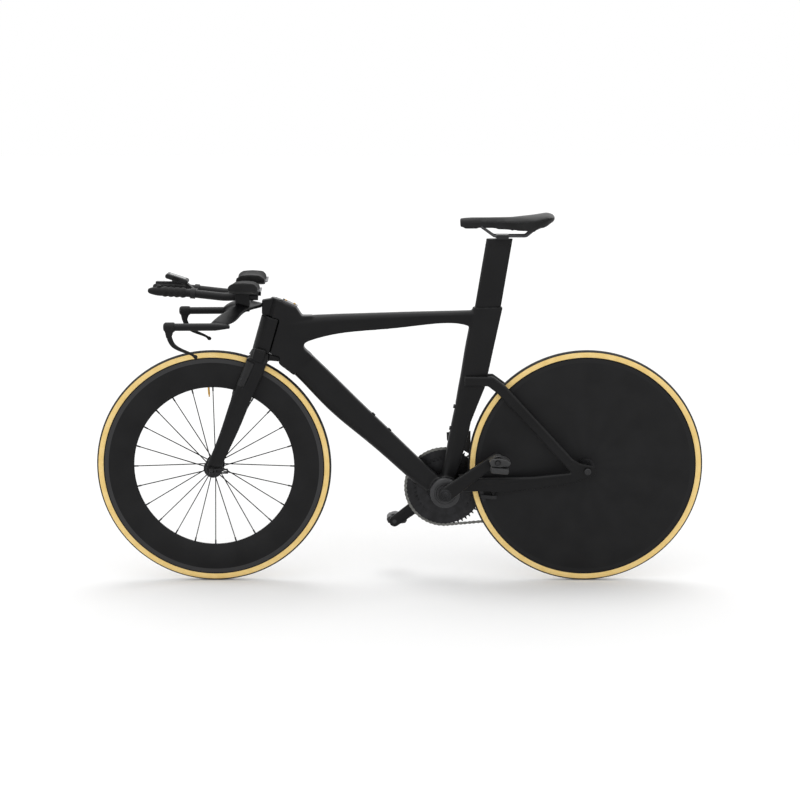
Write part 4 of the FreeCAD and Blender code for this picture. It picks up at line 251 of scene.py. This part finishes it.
def turned_alloy(name, centre, dark, light, rough):
    """Anodised alloy that was turned on a lathe: fine rings round its axle catch the light."""
    ring_spacing = 1.2 * MM
    material, tree, shader, place = start(name, {"Metallic": 0.75, "Anisotropic": 0.35})
    reach = around(tree, place, centre)[1]
    # Lathe rings of 0.2 mm are drawn 1.2 mm apart so that they show.
    turns = add(tree, "Math", {"operation": "MULTIPLY", 1: 2 * math.pi / ring_spacing}, {0: reach})
    ring = add(tree, "Math", {"operation": "SINE"}, {0: turns.outputs["Value"]}).outputs["Value"]
    drift = add(tree, "TexNoise", {"Scale": per_mm(18), "Detail": 3.0}, {"Vector": place}).outputs["Fac"]
    tone = add(tree, "Math", {"operation": "MULTIPLY_ADD", 1: 0.12}, {0: ring, 2: drift}).outputs["Value"]
    low, high = rough
    gloss = add(tree, "MapRange", {"To Min": low, "To Max": high}, {"Value": drift}).outputs["Result"]
    tree.links.new(ramp(tree, tone, ((0.3, dark), (0.75, light))), shader.inputs["Base Color"])
    tree.links.new(gloss, shader.inputs["Roughness"])
    bumped(tree, shader, ring, depth_mm=0.03, strength=0.25)
    return material


# One material for each finish
matte_black = painted_carbon()
front_shell = rim_carbon("front_rim_carbon", FRONT_AXLE, ((0.3, "#121213"), (0.7, "#181819")),
                         ((0.0, "#2f2f30"), (1.0, "#3e3e3f")))
disc_shell = rim_carbon("disc_carbon", REAR_AXLE, ((0.3, "#131314"), (0.7, "#19191a")),
                        ((0.0, "#151516"), (1.0, "#222223")))
front_casing = open_tyre("front_cotton_tyre", FRONT_AXLE)
rear_casing = open_tyre("rear_cotton_tyre", REAR_AXLE)
# Hard-anodised alloy: dark, a little metallic, dull
black_alloy = plain_finish("black_anodised_alloy", "#121213", "#1e1e20", (0.34, 0.5), grain_mm=0.8,
                           metallic=0.5)
# Turned and anodised rings and hubs: dark grey, with a fan of light across the lathe lines
ring_alloy = turned_alloy("turned_black_alloy", CRANK_AXIS, "#1c1c1d", "#2c2c2e", (0.3, 0.46))
front_hub_alloy = turned_alloy("front_hub_alloy", FRONT_AXLE, "#1b1b1c", "#2b2b2d", (0.28, 0.42))
rear_hub_alloy = turned_alloy("rear_hub_alloy", REAR_AXLE, "#1b1b1c", "#2b2b2d", (0.28, 0.42))
# Nickel-plated steel: grey, oily in places
chain_steel = plain_finish("nickel_plated_steel", "#3c3c3b", "#7d7d79", (0.24, 0.42), grain_mm=1.5,
                           metallic=1.0)
# Steel under black oxide: dark grey with a dull metal glint
dark_steel = plain_finish("black_oxide_steel", "#222223", "#3a3a3b", (0.3, 0.45), grain_mm=0.9, metallic=0.85)
# Bladed spoke steel, blackened: thin black lines with little shine
spoke_steel = plain_finish("blackened_spoke_steel", "#0f0f10", "#1c1c1d", (0.34, 0.48), grain_mm=0.6,
                           metallic=0.5)
# Drawn titanium alloy of the saddle rails: dark grey with a soft metal sheen
rail_alloy = plain_finish("drawn_rail_alloy", "#2b2b2c", "#444446", (0.28, 0.4), grain_mm=0.5, metallic=0.85)
# Lacquer on the brake cover: satin, painted a little lighter than the fork that it closes, as painted light
# on the crown's bulge
lit_cover_black = plain_finish("brake_cover_painted_light", "#161617", "#232324", (0.36, 0.48), grain_mm=1.2,
                          specular=0.22)
# Grey lacquer of the lid: a lighter, even tone on the fairing
lid_grey = plain_finish("lid_lacquer", "#4b4b4d", "#5c5c5e", (0.32, 0.44), grain_mm=1.2)
# Injection-moulded grey cups: even and dull
cup_grey = plain_finish("cup_moulding", "#4c4c4e", "#626265", (0.4, 0.52), grain_mm=0.9)
# Gold anodising on alloy: small warm sparks
gold_alloy = plain_finish("gold_anodised_alloy", "#9a7633", "#c59a4c", (0.22, 0.34), grain_mm=0.8,
                          metallic=1.0)
# Glass-filled nylon: black, dull and finely grained
black_resin = plain_finish("glass_filled_nylon", "#101011", "#1b1b1c", (0.44, 0.58), grain_mm=0.7,
                           depth_mm=0.05, specular=0.2)
# Pedal resin scuffed by shoes: black with grey wear
pedal_resin = plain_finish("scuffed_pedal_resin", "#1a1a1b", "#3b3b3c", (0.4, 0.56), grain_mm=1.6,
                           metallic=0.1, depth_mm=0.06, specular=0.3)
# Sanded bracket shell: mottled dark grey, rough
rough_shell = plain_finish("sanded_bracket_shell", "#121213", "#39393b", (0.5, 0.66), grain_mm=2.2,
                           metallic=0.25, depth_mm=0.25)
# Moulded rubber of grips and hoods: black, dull, fine pebbles
grip_rubber = pebbled("moulded_grip_rubber", "#0e0e0e", "#1c1c1c", pebble_mm=1.4, depth_mm=0.12,
                      rough=(0.55, 0.7))
# Grained saddle cover: black with a broad soft sheen
saddle_cover = pebbled("grained_saddle_cover", "#151515", "#222223", pebble_mm=1.8, depth_mm=0.12,
                       rough=(0.42, 0.58))
# Cover of the foam pads: black and almost without shine
pad_cover = pebbled("foam_pad_cover", "#111111", "#1f1f20", pebble_mm=1.1, depth_mm=0.1,
                    rough=(0.62, 0.78))

finish_of = {
    "front_rim": front_shell, "rear_disc": disc_shell, "front_tyre": front_casing, "rear_tyre": rear_casing,
    "front_hub": front_hub_alloy, "rear_hub": rear_hub_alloy, "front_spokes": spoke_steel,
    "chain": chain_steel, "cassette": dark_steel, "chainring_large": ring_alloy,
    "chainring_small": ring_alloy, "bottom_bracket_cups": rough_shell, "front_axle": dark_steel,
    "rear_axle": dark_steel, "pedal_axles": dark_steel, "headset_bearings": dark_steel,
    "saddle_rails": rail_alloy, "arm_cups": cup_grey, "fairing_lid": lid_grey, "front_valve": gold_alloy,
    "front_brake_cover": lit_cover_black, "bike_computer": black_resin, "computer_holder": black_resin,
    "computer_key": grip_rubber, "guide_pulley": black_resin, "tension_pulley": black_resin,
    "pedal_left": pedal_resin, "pedal_right": pedal_resin, "shift_button_left": grip_rubber,
    "shift_button_right": grip_rubber, "lever_hoods": grip_rubber, "grips": grip_rubber,
    "arm_pads": pad_cover, "saddle": saddle_cover,
}
carbon_nodes = ("main_frame", "seat_stays", "chain_stays", "fork", "fork_nose", "stem", "base_bar",
                "extensions", "seatpost", "bar_risers", "crank_arm_left", "crank_arm_right")
for name, node in nodes.items():
    node.data.materials.clear()
    node.data.materials.append(matte_black if name in carbon_nodes else finish_of.get(name, black_alloy))


# Soft pieces, modelled over the CAD's own simple solids
def only(piece):
    """Make one object the only selected and the active one."""
    bpy.ops.object.select_all(action="DESELECT")
    piece.select_set(True)
    bpy.context.view_layer.objects.active = piece


def copied(name, node):
    """A new object on a copy of a CAD node's mesh, with its loose triangles joined."""
    piece = bpy.data.objects.new(name, nodes[node].data.copy())
    bpy.context.scene.collection.objects.link(piece)
    only(piece)
    bpy.ops.object.mode_set(mode="EDIT")
    bpy.ops.mesh.select_all(action="SELECT")
    bpy.ops.mesh.remove_doubles(threshold=0.02 * MM)
    bpy.ops.object.mode_set(mode="OBJECT")
    return piece


def modified(piece, kind, **settings):
    """Add one modifier with its settings and apply it."""
    only(piece)
    modifier = piece.modifiers.new(kind.lower(), kind)
    for name, value in settings.items():
        setattr(modifier, name, value)
    bpy.ops.object.modifier_apply(modifier=modifier.name)


def settled(piece, material, body, slot, *replaced):
    """Give a piece its material, smooth shading and body, and hide the CAD nodes that it stands for. The slot
    is not used.
    """
    piece.data.materials.clear()
    piece.data.materials.append(material)
    only(piece)
    bpy.ops.object.shade_smooth_by_angle(angle=SMOOTH_ANGLE)
    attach(piece, body)
    if replaced:
        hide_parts(*replaced)


def puffed(piece, cap):
    """Swell a closed mesh like filled cloth, with no point moving further than the cap."""
    pressure, tension, bending, last_frame = 4.0, 40.0, 4.0, 20
    only(piece)
    rest = [vertex.co.copy() for vertex in piece.data.vertices]
    cloth = piece.modifiers.new("filling", "CLOTH")
    cloth.settings.use_pressure = True
    cloth.settings.uniform_pressure_force = pressure
    cloth.settings.effector_weights.gravity = 0.0
    cloth.settings.tension_stiffness = tension
    cloth.settings.bending_stiffness = bending
    for step in range(1, last_frame + 1):
        bpy.context.scene.frame_set(step)
    bpy.ops.object.modifier_apply(modifier=cloth.name)
    bpy.context.scene.frame_set(1)
    for vertex, start_place in zip(piece.data.vertices, rest):
        move = vertex.co - start_place
        if move.length > cap:
            vertex.co = start_place + move * (cap / move.length)


def padded_cover(name, node, voxel, rounds, cap, depth_share):
    """A filled cover over a CAD cushion: deepened from its top, remeshed, softened, swollen, subdivided."""
    piece = copied(name, node)
    bpy.ops.object.mode_set(mode="EDIT")
    bpy.ops.mesh.select_all(action="SELECT")
    bpy.ops.transform.resize(value=(1, 1, depth_share), center_override=(0, 0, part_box(node)[1][2]))
    bpy.ops.object.mode_set(mode="OBJECT")
    modified(piece, "REMESH", mode="VOXEL", voxel_size=voxel)
    modified(piece, "SMOOTH", factor=0.5, iterations=rounds)
    puffed(piece, cap)
    modified(piece, "SMOOTH", factor=0.4, iterations=4)
    modified(piece, "SUBSURF", levels=1, render_levels=1)
    settled(piece, saddle_cover if node == "saddle" else pad_cover, body_of[node], slot_of[node], node)
    return piece


saddle = padded_cover("saddle_cover", "saddle", voxel=4 * MM, rounds=8, cap=2.5 * MM,
                      depth_share=1.1)
padded_cover("arm_pad_covers", "arm_pads", voxel=4 * MM, rounds=6, cap=3 * MM, depth_share=1.3)


# Moulded pieces
def moulded(name, members, voxel_mm, rounds, material=None):
    """The CAD solids of one moulding joined into one even skin, with every corner rounded over."""
    pieces = [copied(name if node == members[0] else node + "_copy", node) for node in members]
    only(pieces[0])
    for piece in pieces[1:]:
        piece.select_set(True)
    if len(pieces) > 1:
        bpy.ops.object.join()
    modified(pieces[0], "REMESH", mode="VOXEL", voxel_size=voxel_mm * MM)
    modified(pieces[0], "SMOOTH", factor=0.5, iterations=rounds)
    first = members[0]
    settled(pieces[0], material or nodes[first].data.materials[0], body_of[first], slot_of[first], *members)


moulded("frame_moulding", ("main_frame",), 2.8, 5)
moulded("rear_triangle", ("seat_stays", "chain_stays", "rear_dropouts"), 2.4, 5, matte_black)
moulded("fork_moulding", ("fork",), 2.4, 4)
moulded("nose_moulding", ("fork_nose",), 1.8, 9)
moulded("stem_moulding", ("stem",), 1.8, 3)
moulded("bar_moulding", ("base_bar",), 2.0, 4)
moulded("riser_mouldings", ("bar_risers",), 1.8, 3)
moulded("left_crank_moulding", ("crank_arm_left",), 1.6, 3)
moulded("left_pedal_moulding", ("pedal_left",), 1.6, 12)
moulded("right_pedal_moulding", ("pedal_right",), 1.6, 4)
moulded("computer_case", ("bike_computer",), 1.4, 10)
moulded("hood_rubber", ("lever_hoods",), 1.3, 14)

# Shells that keep the source's own edges: joined triangles let their curves shade evenly
for node in ("extensions", "seatpost", "front_brake_cover", "front_rim", "rear_disc", "front_tyre",
             "rear_tyre", "crank_arm_right"):
    shell = copied(node + "_shell", node)
    settled(shell, nodes[node].data.materials[0], body_of[node], slot_of[node], node)
    modified(shell, "WEIGHTED_NORMAL", keep_sharp=True, weight=60)

# Bladed spokes, drawn 0.35 mm fuller all round so that they read as dark lines
spoke_fullness = 0.35 * MM
blades = copied("spoke_blades", "front_spokes")
modified(blades, "DISPLACE", strength=spoke_fullness, mid_level=0.0)
settled(blades, spoke_steel, body_of["front_spokes"], slot_of["front_spokes"], "front_spokes")


def swept(name, points, radii, squeeze, centre):
    """A smooth bar along points with a radius at each, in millimetres, squeezed sideways about a centre."""
    curve = bpy.data.curves.new(name, "CURVE")
    curve.dimensions = "3D"
    curve.bevel_depth = MM
    curve.bevel_resolution = 6
    curve.resolution_u = 8
    curve.use_fill_caps = True
    spline = curve.splines.new("NURBS")
    spline.points.add(len(points) - 1)
    for knot, place, radius in zip(spline.points, points, radii):
        knot.co = (place[0] * MM, place[1] * MM, place[2] * MM, 1.0)
        knot.radius = radius
    spline.order_u = 3
    spline.use_endpoint_u = True
    line = bpy.data.objects.new(name, curve)
    bpy.context.scene.collection.objects.link(line)
    only(line)
    bpy.ops.object.convert(target="MESH")
    bpy.ops.object.mode_set(mode="EDIT")
    bpy.ops.mesh.select_all(action="SELECT")
    bpy.ops.mesh.remove_doubles(threshold=0.01 * MM)
    bpy.ops.transform.resize(value=(1, squeeze, 1), center_override=centre)
    bpy.ops.object.mode_set(mode="OBJECT")
    return bpy.context.object


# Brake levers: a broad root at the pin, a slim hooked blade and a ball at its tip
lever_points = ((-631, 747), (-629.8, 739), (-627, 727), (-619, 711), (-600, 699.5), (-577, 691),
                (-566, 685.5), (-562.5, 682.5), (-559.5, 680.5), (-555.5, 678), (-553.5, 676.5))
lever_radii = (6.5, 7.5, 7.6, 6.6, 5.0, 4.0, 3.5, 4.2, 5.8, 5.6, 2.0)
lever_side = 180
lever_flatness = 0.55
for side, label in SIDES:
    points = [(x, side * lever_side, z) for x, z in lever_points]
    lever = swept("lever_blade_" + label, points, lever_radii, lever_flatness, (0, side * lever_side * MM, 0))
    node = "brake_lever_" + label
    settled(lever, matte_black, body_of[node], slot_of[node], node)


# Details
def drawn(name, foot, line, stations, sides):
    """A round solid along a line: a face extruded and resized to each (distance, radius) in millimetres."""
    bpy.ops.object.select_all(action="DESELECT")
    first_along, first_radius = stations[0]
    turn = line.to_track_quat("Z", "Y").to_euler()
    bpy.ops.mesh.primitive_circle_add(vertices=sides, radius=first_radius * MM, fill_type="NGON",
                                      location=foot + line * (first_along * MM), rotation=turn)
    piece = bpy.context.object
    piece.name = name
    bpy.ops.object.transform_apply(location=True, rotation=True, scale=True)
    bpy.ops.object.mode_set(mode="EDIT")
    bpy.ops.mesh.select_mode(type="FACE")
    bpy.ops.mesh.select_all(action="SELECT")
    for (along, radius), (next_along, next_radius) in zip(stations, stations[1:]):
        bpy.ops.mesh.extrude_region_move(TRANSFORM_OT_translate={"value": line * ((next_along - along) * MM)})
        share = next_radius / radius
        bpy.ops.transform.resize(value=(share, share, share), center_override=foot + line * (next_along * MM))
    bpy.ops.mesh.select_all(action="SELECT")
    bpy.ops.mesh.normals_make_consistent(inside=False)
    bpy.ops.object.mode_set(mode="OBJECT")
    return piece


def touched(node, origin, direction):
    """The first point of a CAD node along a ray, and the surface's direction there."""
    mesh = nodes[node].data
    tree = BVHTree.FromPolygons([v.co for v in mesh.vertices], [face.vertices for face in mesh.polygons])
    return tree.ray_cast(Vector(origin), direction)[:2]


# Grips: four finger ribs, then a smooth horn that narrows to a blunt round tip
grip_foot = (-0.59555, 0.052, 0.84125)
grip_line = Vector((-0.99827, 0, 0.0587))
rib_count, rib_pitch = 4, 16.5
grip_stations = [(0, 11.9), (0.6, 12.8)]
for rib in range(rib_count):
    low = rib_pitch * rib
    grip_stations += [(low + 2.5, 12.9), (low + 6, 14.6), (low + 11, 15.0), (low + 14.5, 13.4)]
    grip_stations += [(low + rib_pitch, 12.5)]
grip_stations += [(72, 13.0), (80, 12.6), (90, 11.2), (98, 9.2), (103, 7.4), (106, 5.2), (107, 2.2)]
grips = []
for side in (-1, 1):
    place = Vector((grip_foot[0], side * grip_foot[1], grip_foot[2]))
    grips.append(drawn("grip_sleeve_%d" % side, place, grip_line, grip_stations, 32))
only(grips[0])
grips[1].select_set(True)
bpy.ops.object.join()
grips[0].name = "grip_sleeves"
modified(grips[0], "SUBSURF", levels=1, render_levels=1)
settled(grips[0], grip_rubber, body_of["grips"], slot_of["grips"], "grips")


def seam(name, piece, stations, body, material):
    """A raised seam round a cover's widest line, through its outermost point at each station."""
    slice_half, seam_radius = 3 * MM, 0.8 * MM
    sides = []
    for side in (-1, 1):
        run = []
        for x in stations:
            near = [v.co for v in piece.data.vertices if abs(v.co.x - x * MM) < slice_half]
            run.append(max(near, key=lambda co: side * co.y).copy())
        sides.append(run)
    points = sides[0][::-1] + sides[1]
    curve = bpy.data.curves.new(name, "CURVE")
    curve.dimensions = "3D"
    curve.bevel_depth = seam_radius
    curve.bevel_resolution = 2
    spline = curve.splines.new("NURBS")
    spline.points.add(len(points) - 1)
    for knot, co in zip(spline.points, points):
        knot.co = (co.x, co.y, co.z, 1.0)
    spline.order_u = 3
    spline.use_endpoint_u = True
    line = bpy.data.objects.new(name, curve)
    bpy.context.scene.collection.objects.link(line)
    line.data.materials.append(material)
    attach(line, body)


seam_stations = (172, 180, 200, 230, 265, 300, 330, 360, 390, 415, 428)
seam("saddle_seam", saddle, seam_stations, body_of["saddle"], saddle_cover)

# Rings and bolt of the left crank's boss, on the arm's outer face
crank_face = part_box("crank_arm_left")[0][1]
boss_stations = [(-1, 17.5), (0.9, 17.5), (1.5, 16.8), (1.5, 14.2), (0.3, 13.8), (0.3, 11.6), (1.8, 11.2),
                 (2.2, 10.6), (2.2, 6.0), (0.2, 5.6), (0.2, 1.0)]
boss = drawn("crank_boss_rings", Vector((CRANK_AXIS.x, crank_face, CRANK_AXIS.z)), LEFT, boss_stations, 48)
settled(boss, front_hub_alloy, body_of["crank_arm_left"], "alloy_dark")


def bolt(name, place, line, radius, body, material):
    """A socket-head bolt: a rounded head with a round recess, its radius in millimetres."""
    stations = [(-0.6, radius), (radius * 0.5, radius), (radius * 0.62, radius * 0.86),
                (radius * 0.62, radius * 0.5), (radius * 0.1, radius * 0.46)]
    head = drawn(name, place, line, stations, 24)
    settled(head, material, body, "steel")


# One bolt on the brake cover's left side and two on the lid, each seated where a ray meets the CAD face
cover_bolt_radius, lid_bolt_radius = 2.6, 3.4
beside_cover, above_lid = (-0.447, -0.3, 0.596), 1.0
lid_bolt_shares = (0.225, 0.8)
place, outward = touched("front_brake_cover", beside_cover, RIGHT)
bolt("cover_bolt", place, outward, cover_bolt_radius, body_of["front_brake_cover"], rail_alloy)
lid_low, lid_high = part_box("fairing_lid")
for index, share in enumerate(lid_bolt_shares):
    x = lid_low[0] + share * (lid_high[0] - lid_low[0])
    place, outward = touched("fairing_lid", (x, 0, above_lid), DOWN)
    bolt("lid_bolt_%d" % index, place, outward, lid_bolt_radius, body_of["fairing_lid"], gold_alloy)

# The seatpost's cap: a thin shadow line round the post where the cap meets it, a little proud of the post
cap_low, cap_high = 0.9700, 0.9714
cap_growth = (1.008, 1.03, 1.0)
cap = copied("post_cap_line", "seatpost")
bpy.ops.object.mode_set(mode="EDIT")
for height, upper in ((cap_low, False), (cap_high, True)):
    bpy.ops.mesh.select_all(action="SELECT")
    bpy.ops.mesh.bisect(plane_co=(0, 0, height), plane_no=(0, 0, 1), use_fill=True, clear_inner=not upper,
                        clear_outer=upper)
bpy.ops.mesh.select_all(action="SELECT")
bpy.ops.transform.resize(value=cap_growth)
bpy.ops.object.mode_set(mode="OBJECT")
settled(cap, grip_rubber, body_of["seatpost"], "soft_black")

# A sanded drum round the bottom bracket shell, ending in a rounded lip beside the crank
shell_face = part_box("main_frame")[0][1]
drum_stations = [(-14, 42.4), (-1.5, 42.7), (0.6, 42.0), (1.4, 40.6), (1.4, 31.0), (0.4, 30.0), (0.4, 26.0),
                 (-1.0, 25.5)]
drum = drawn("bracket_drum", Vector((CRANK_AXIS.x, shell_face, CRANK_AXIS.z)), LEFT, drum_stations, 64)
settled(drum, rough_shell, "frame", "alloy_dark")

# End caps on the rear axle, with a key recess
axle_low, axle_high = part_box("rear_axle")
nut_stations = [(-1.5, 8.6), (0.2, 8.6), (0.9, 7.8), (0.9, 5.2), (-0.6, 4.8)]
for label, y, way in (("left", axle_low[1], LEFT), ("right", axle_high[1], RIGHT)):
    nut = drawn("rear_axle_cap_" + label, Vector((REAR_AXLE.x, y, REAR_AXLE.z)), way, nut_stations, 32)
    settled(nut, dark_steel, body_of["rear_axle"], "steel")

# Spring catches of the pedals, curved over the top of each body and spread to its width
catch_line = ((-20, -9), (-19, -1), (-10, 3.5), (3, 3.5), (9, -3))
catch_radii = (2.4, 2.6, 2.6, 2.6, 2.2)
catch_spread = 7.0
for label in ("left", "right"):
    low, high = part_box("pedal_" + label)
    middle = [(a + b) / 2 / MM for a, b in zip(low, high)]
    top = high[2] / MM
    points = [(middle[0] + along, middle[1], top + rise) for along, rise in catch_line]
    catch = swept("pedal_catch_" + label, points, catch_radii, catch_spread, (0, middle[1] * MM, 0))
    settled(catch, pedal_resin, body_of["pedal_" + label], "alloy_dark")

# The computer's screen: a thin round-cornered glass with a raised bezel, let into the sloping top
screen_size, screen_corner, screen_height = (46 * MM, 38 * MM, 1.0), 5 * MM, 0.9 * MM
bezel_width, glass_depth = 1.6 * MM, 0.4 * MM
screen_slope = math.radians(18.15)
screen_place = (-0.6238, 0, 0.8825)
bpy.ops.object.select_all(action="DESELECT")
bpy.ops.mesh.primitive_plane_add(size=1.0)
screen = bpy.context.object
screen.name = "computer_screen"
bpy.ops.object.mode_set(mode="EDIT")
bpy.ops.mesh.select_all(action="SELECT")
bpy.ops.transform.resize(value=screen_size)
bpy.ops.mesh.bevel(offset=screen_corner, segments=5, affect="VERTICES")
bpy.ops.mesh.select_all(action="SELECT")
bpy.ops.mesh.extrude_region_move(TRANSFORM_OT_translate={"value": (0, 0, screen_height)})
bpy.ops.mesh.inset(thickness=bezel_width)
bpy.ops.transform.translate(value=(0, 0, -glass_depth))
bpy.ops.object.mode_set(mode="OBJECT")
screen.rotation_euler = (0, screen_slope, 0)
screen.location = screen_place
bpy.ops.object.transform_apply(location=True, rotation=True, scale=True)
# Cover glass over a dark display: smooth enough to mirror the sky
screen_glass = plain_finish("screen_glass", "#1a1f21", "#232a2c", (0.06, 0.12), grain_mm=6.0, depth_mm=0.0)
settled(screen, screen_glass, body_of["bike_computer"], "screen")


def pillow(name, place, size, turn_deg, corner):
    """A closed pad-like form in millimetres: a box, its edges bevelled wide and rounded by subdivision."""
    bpy.ops.object.select_all(action="DESELECT")
    bpy.ops.mesh.primitive_cube_add(size=1.0)
    piece = bpy.context.object
    piece.name = name
    bpy.ops.object.mode_set(mode="EDIT")
    bpy.ops.mesh.select_all(action="SELECT")
    bpy.ops.transform.resize(value=[part * MM for part in size])
    bpy.ops.mesh.bevel(offset=corner * MM, segments=3, affect="EDGES")
    bpy.ops.object.mode_set(mode="OBJECT")
    modified(piece, "SUBSURF", levels=2, render_levels=2)
    piece.rotation_euler = (0, math.radians(turn_deg), 0)
    piece.location = [part * MM for part in place]
    only(piece)
    bpy.ops.object.transform_apply(location=True, rotation=True, scale=True)
    return piece


# Rounded cheeks on both sides of the fork crown
cheek_x, cheek_y, cheek_z = -396.5, 31.5, 661
cheek_size, cheek_corner = (34, 14, 40), 5.5
head_lean = 16.2
for side, label in SIDES:
    cheek_place = (cheek_x, side * cheek_y, cheek_z)
    cheek = pillow("crown_cheek_" + label, cheek_place, cheek_size, head_lean, cheek_corner)
    settled(cheek, matte_black, body_of["fork"], slot_of["fork"])

# The left pedal's platform, which hangs under the axle
platform_place, platform_size = (281, -103, 348), (52, 46, 20)
platform = pillow("pedal_platform", platform_place, platform_size, turn_deg=6, corner=7)
settled(platform, pedal_resin, body_of["pedal_left"], "alloy_dark")


# Floor, light and camera
def studio():
    """A white floor under an even white sky, one broad lamp overhead and the photograph's camera."""
    floor_size = 60.0
    lit_level, seen_level, ceiling_extra = 0.88, 1.0, 1.6
    lamp_place, lamp_target = Vector((0.0, 0.75, 4.2)), Vector((0, 0, 0.4))
    lamp_angle, lamp_energy = math.radians(36), 0.68
    camera_place, camera_pitch = (0.001, -4.986, 1.418), 10.118
    lens_mm, sensor_mm = 80.0, 36.0
    scene = bpy.context.scene
    scene.view_settings.view_transform = "Standard"
    bpy.ops.object.select_all(action="DESELECT")
    bpy.ops.mesh.primitive_plane_add(size=floor_size)
    floor = bpy.context.object
    floor.name = "floor"
    # White paper sweep: matte and almost even, its tone drifting over about 400 mm
    paper, tree, shader, place = start("white_paper", {"Roughness": 0.9, "Specular IOR Level": 0.0})
    fibre = add(tree, "TexNoise", {"Scale": per_mm(400), "Detail": 2.0}, {"Vector": place}).outputs["Fac"]
    tree.links.new(ramp(tree, fibre, ((0.3, "#fefefe"), (0.7, "#ffffff"))), shader.inputs["Base Color"])
    floor.data.materials.append(paper)
    world = bpy.data.worlds.new("studio_sky")
    scene.world = world
    world.use_nodes = True
    sky = world.node_tree
    # The camera and mirrors see a full white sky; what falls on the part as light is a little weaker
    path = add(sky, "LightPath")
    seen = add(sky, "Math", {"operation": "MAXIMUM"},
               {0: path.outputs["Is Camera Ray"], 1: path.outputs["Is Glossy Ray"]}).outputs["Value"]
    shown = add(sky, "Math", {"operation": "MAXIMUM"}, {0: seen, 1: path.outputs["Is Transmission Ray"]})
    level = add(sky, "MapRange", {"To Min": lit_level, "To Max": seen_level},
                {"Value": shown.outputs["Value"]})
    # Glossy faces that look up mirror a brighter ceiling than the even white at eye level
    way = add(sky, "SeparateXYZ", links={0: add(sky, "TexCoord").outputs["Generated"]}).outputs["Z"]
    ceiling = add(sky, "MapRange", {"From Min": 0.05, "From Max": 0.75, "To Max": ceiling_extra},
                  {"Value": way})
    total = add(sky, "Math", {"operation": "MULTIPLY_ADD"},
                {0: ceiling.outputs["Result"], 1: path.outputs["Is Glossy Ray"], 2: level.outputs["Result"]})
    back = sky.nodes["Background"]
    back.inputs["Color"].default_value = (1, 1, 1, 1)
    sky.links.new(total.outputs["Value"], back.inputs["Strength"])
    bpy.ops.object.light_add(type="SUN", location=lamp_place)
    lamp = bpy.context.object
    lamp.name = "overhead_softbox"
    lamp.data.angle = lamp_angle
    lamp.data.energy = lamp_energy
    lamp.rotation_euler = (lamp_target - lamp_place).to_track_quat("-Z", "Y").to_euler()
    bpy.ops.object.camera_add(location=camera_place, rotation=(math.radians(90 - camera_pitch), 0, 0))
    camera = bpy.context.object
    camera.data.sensor_width = sensor_mm
    camera.data.lens = lens_mm
    scene.camera = camera


studio()
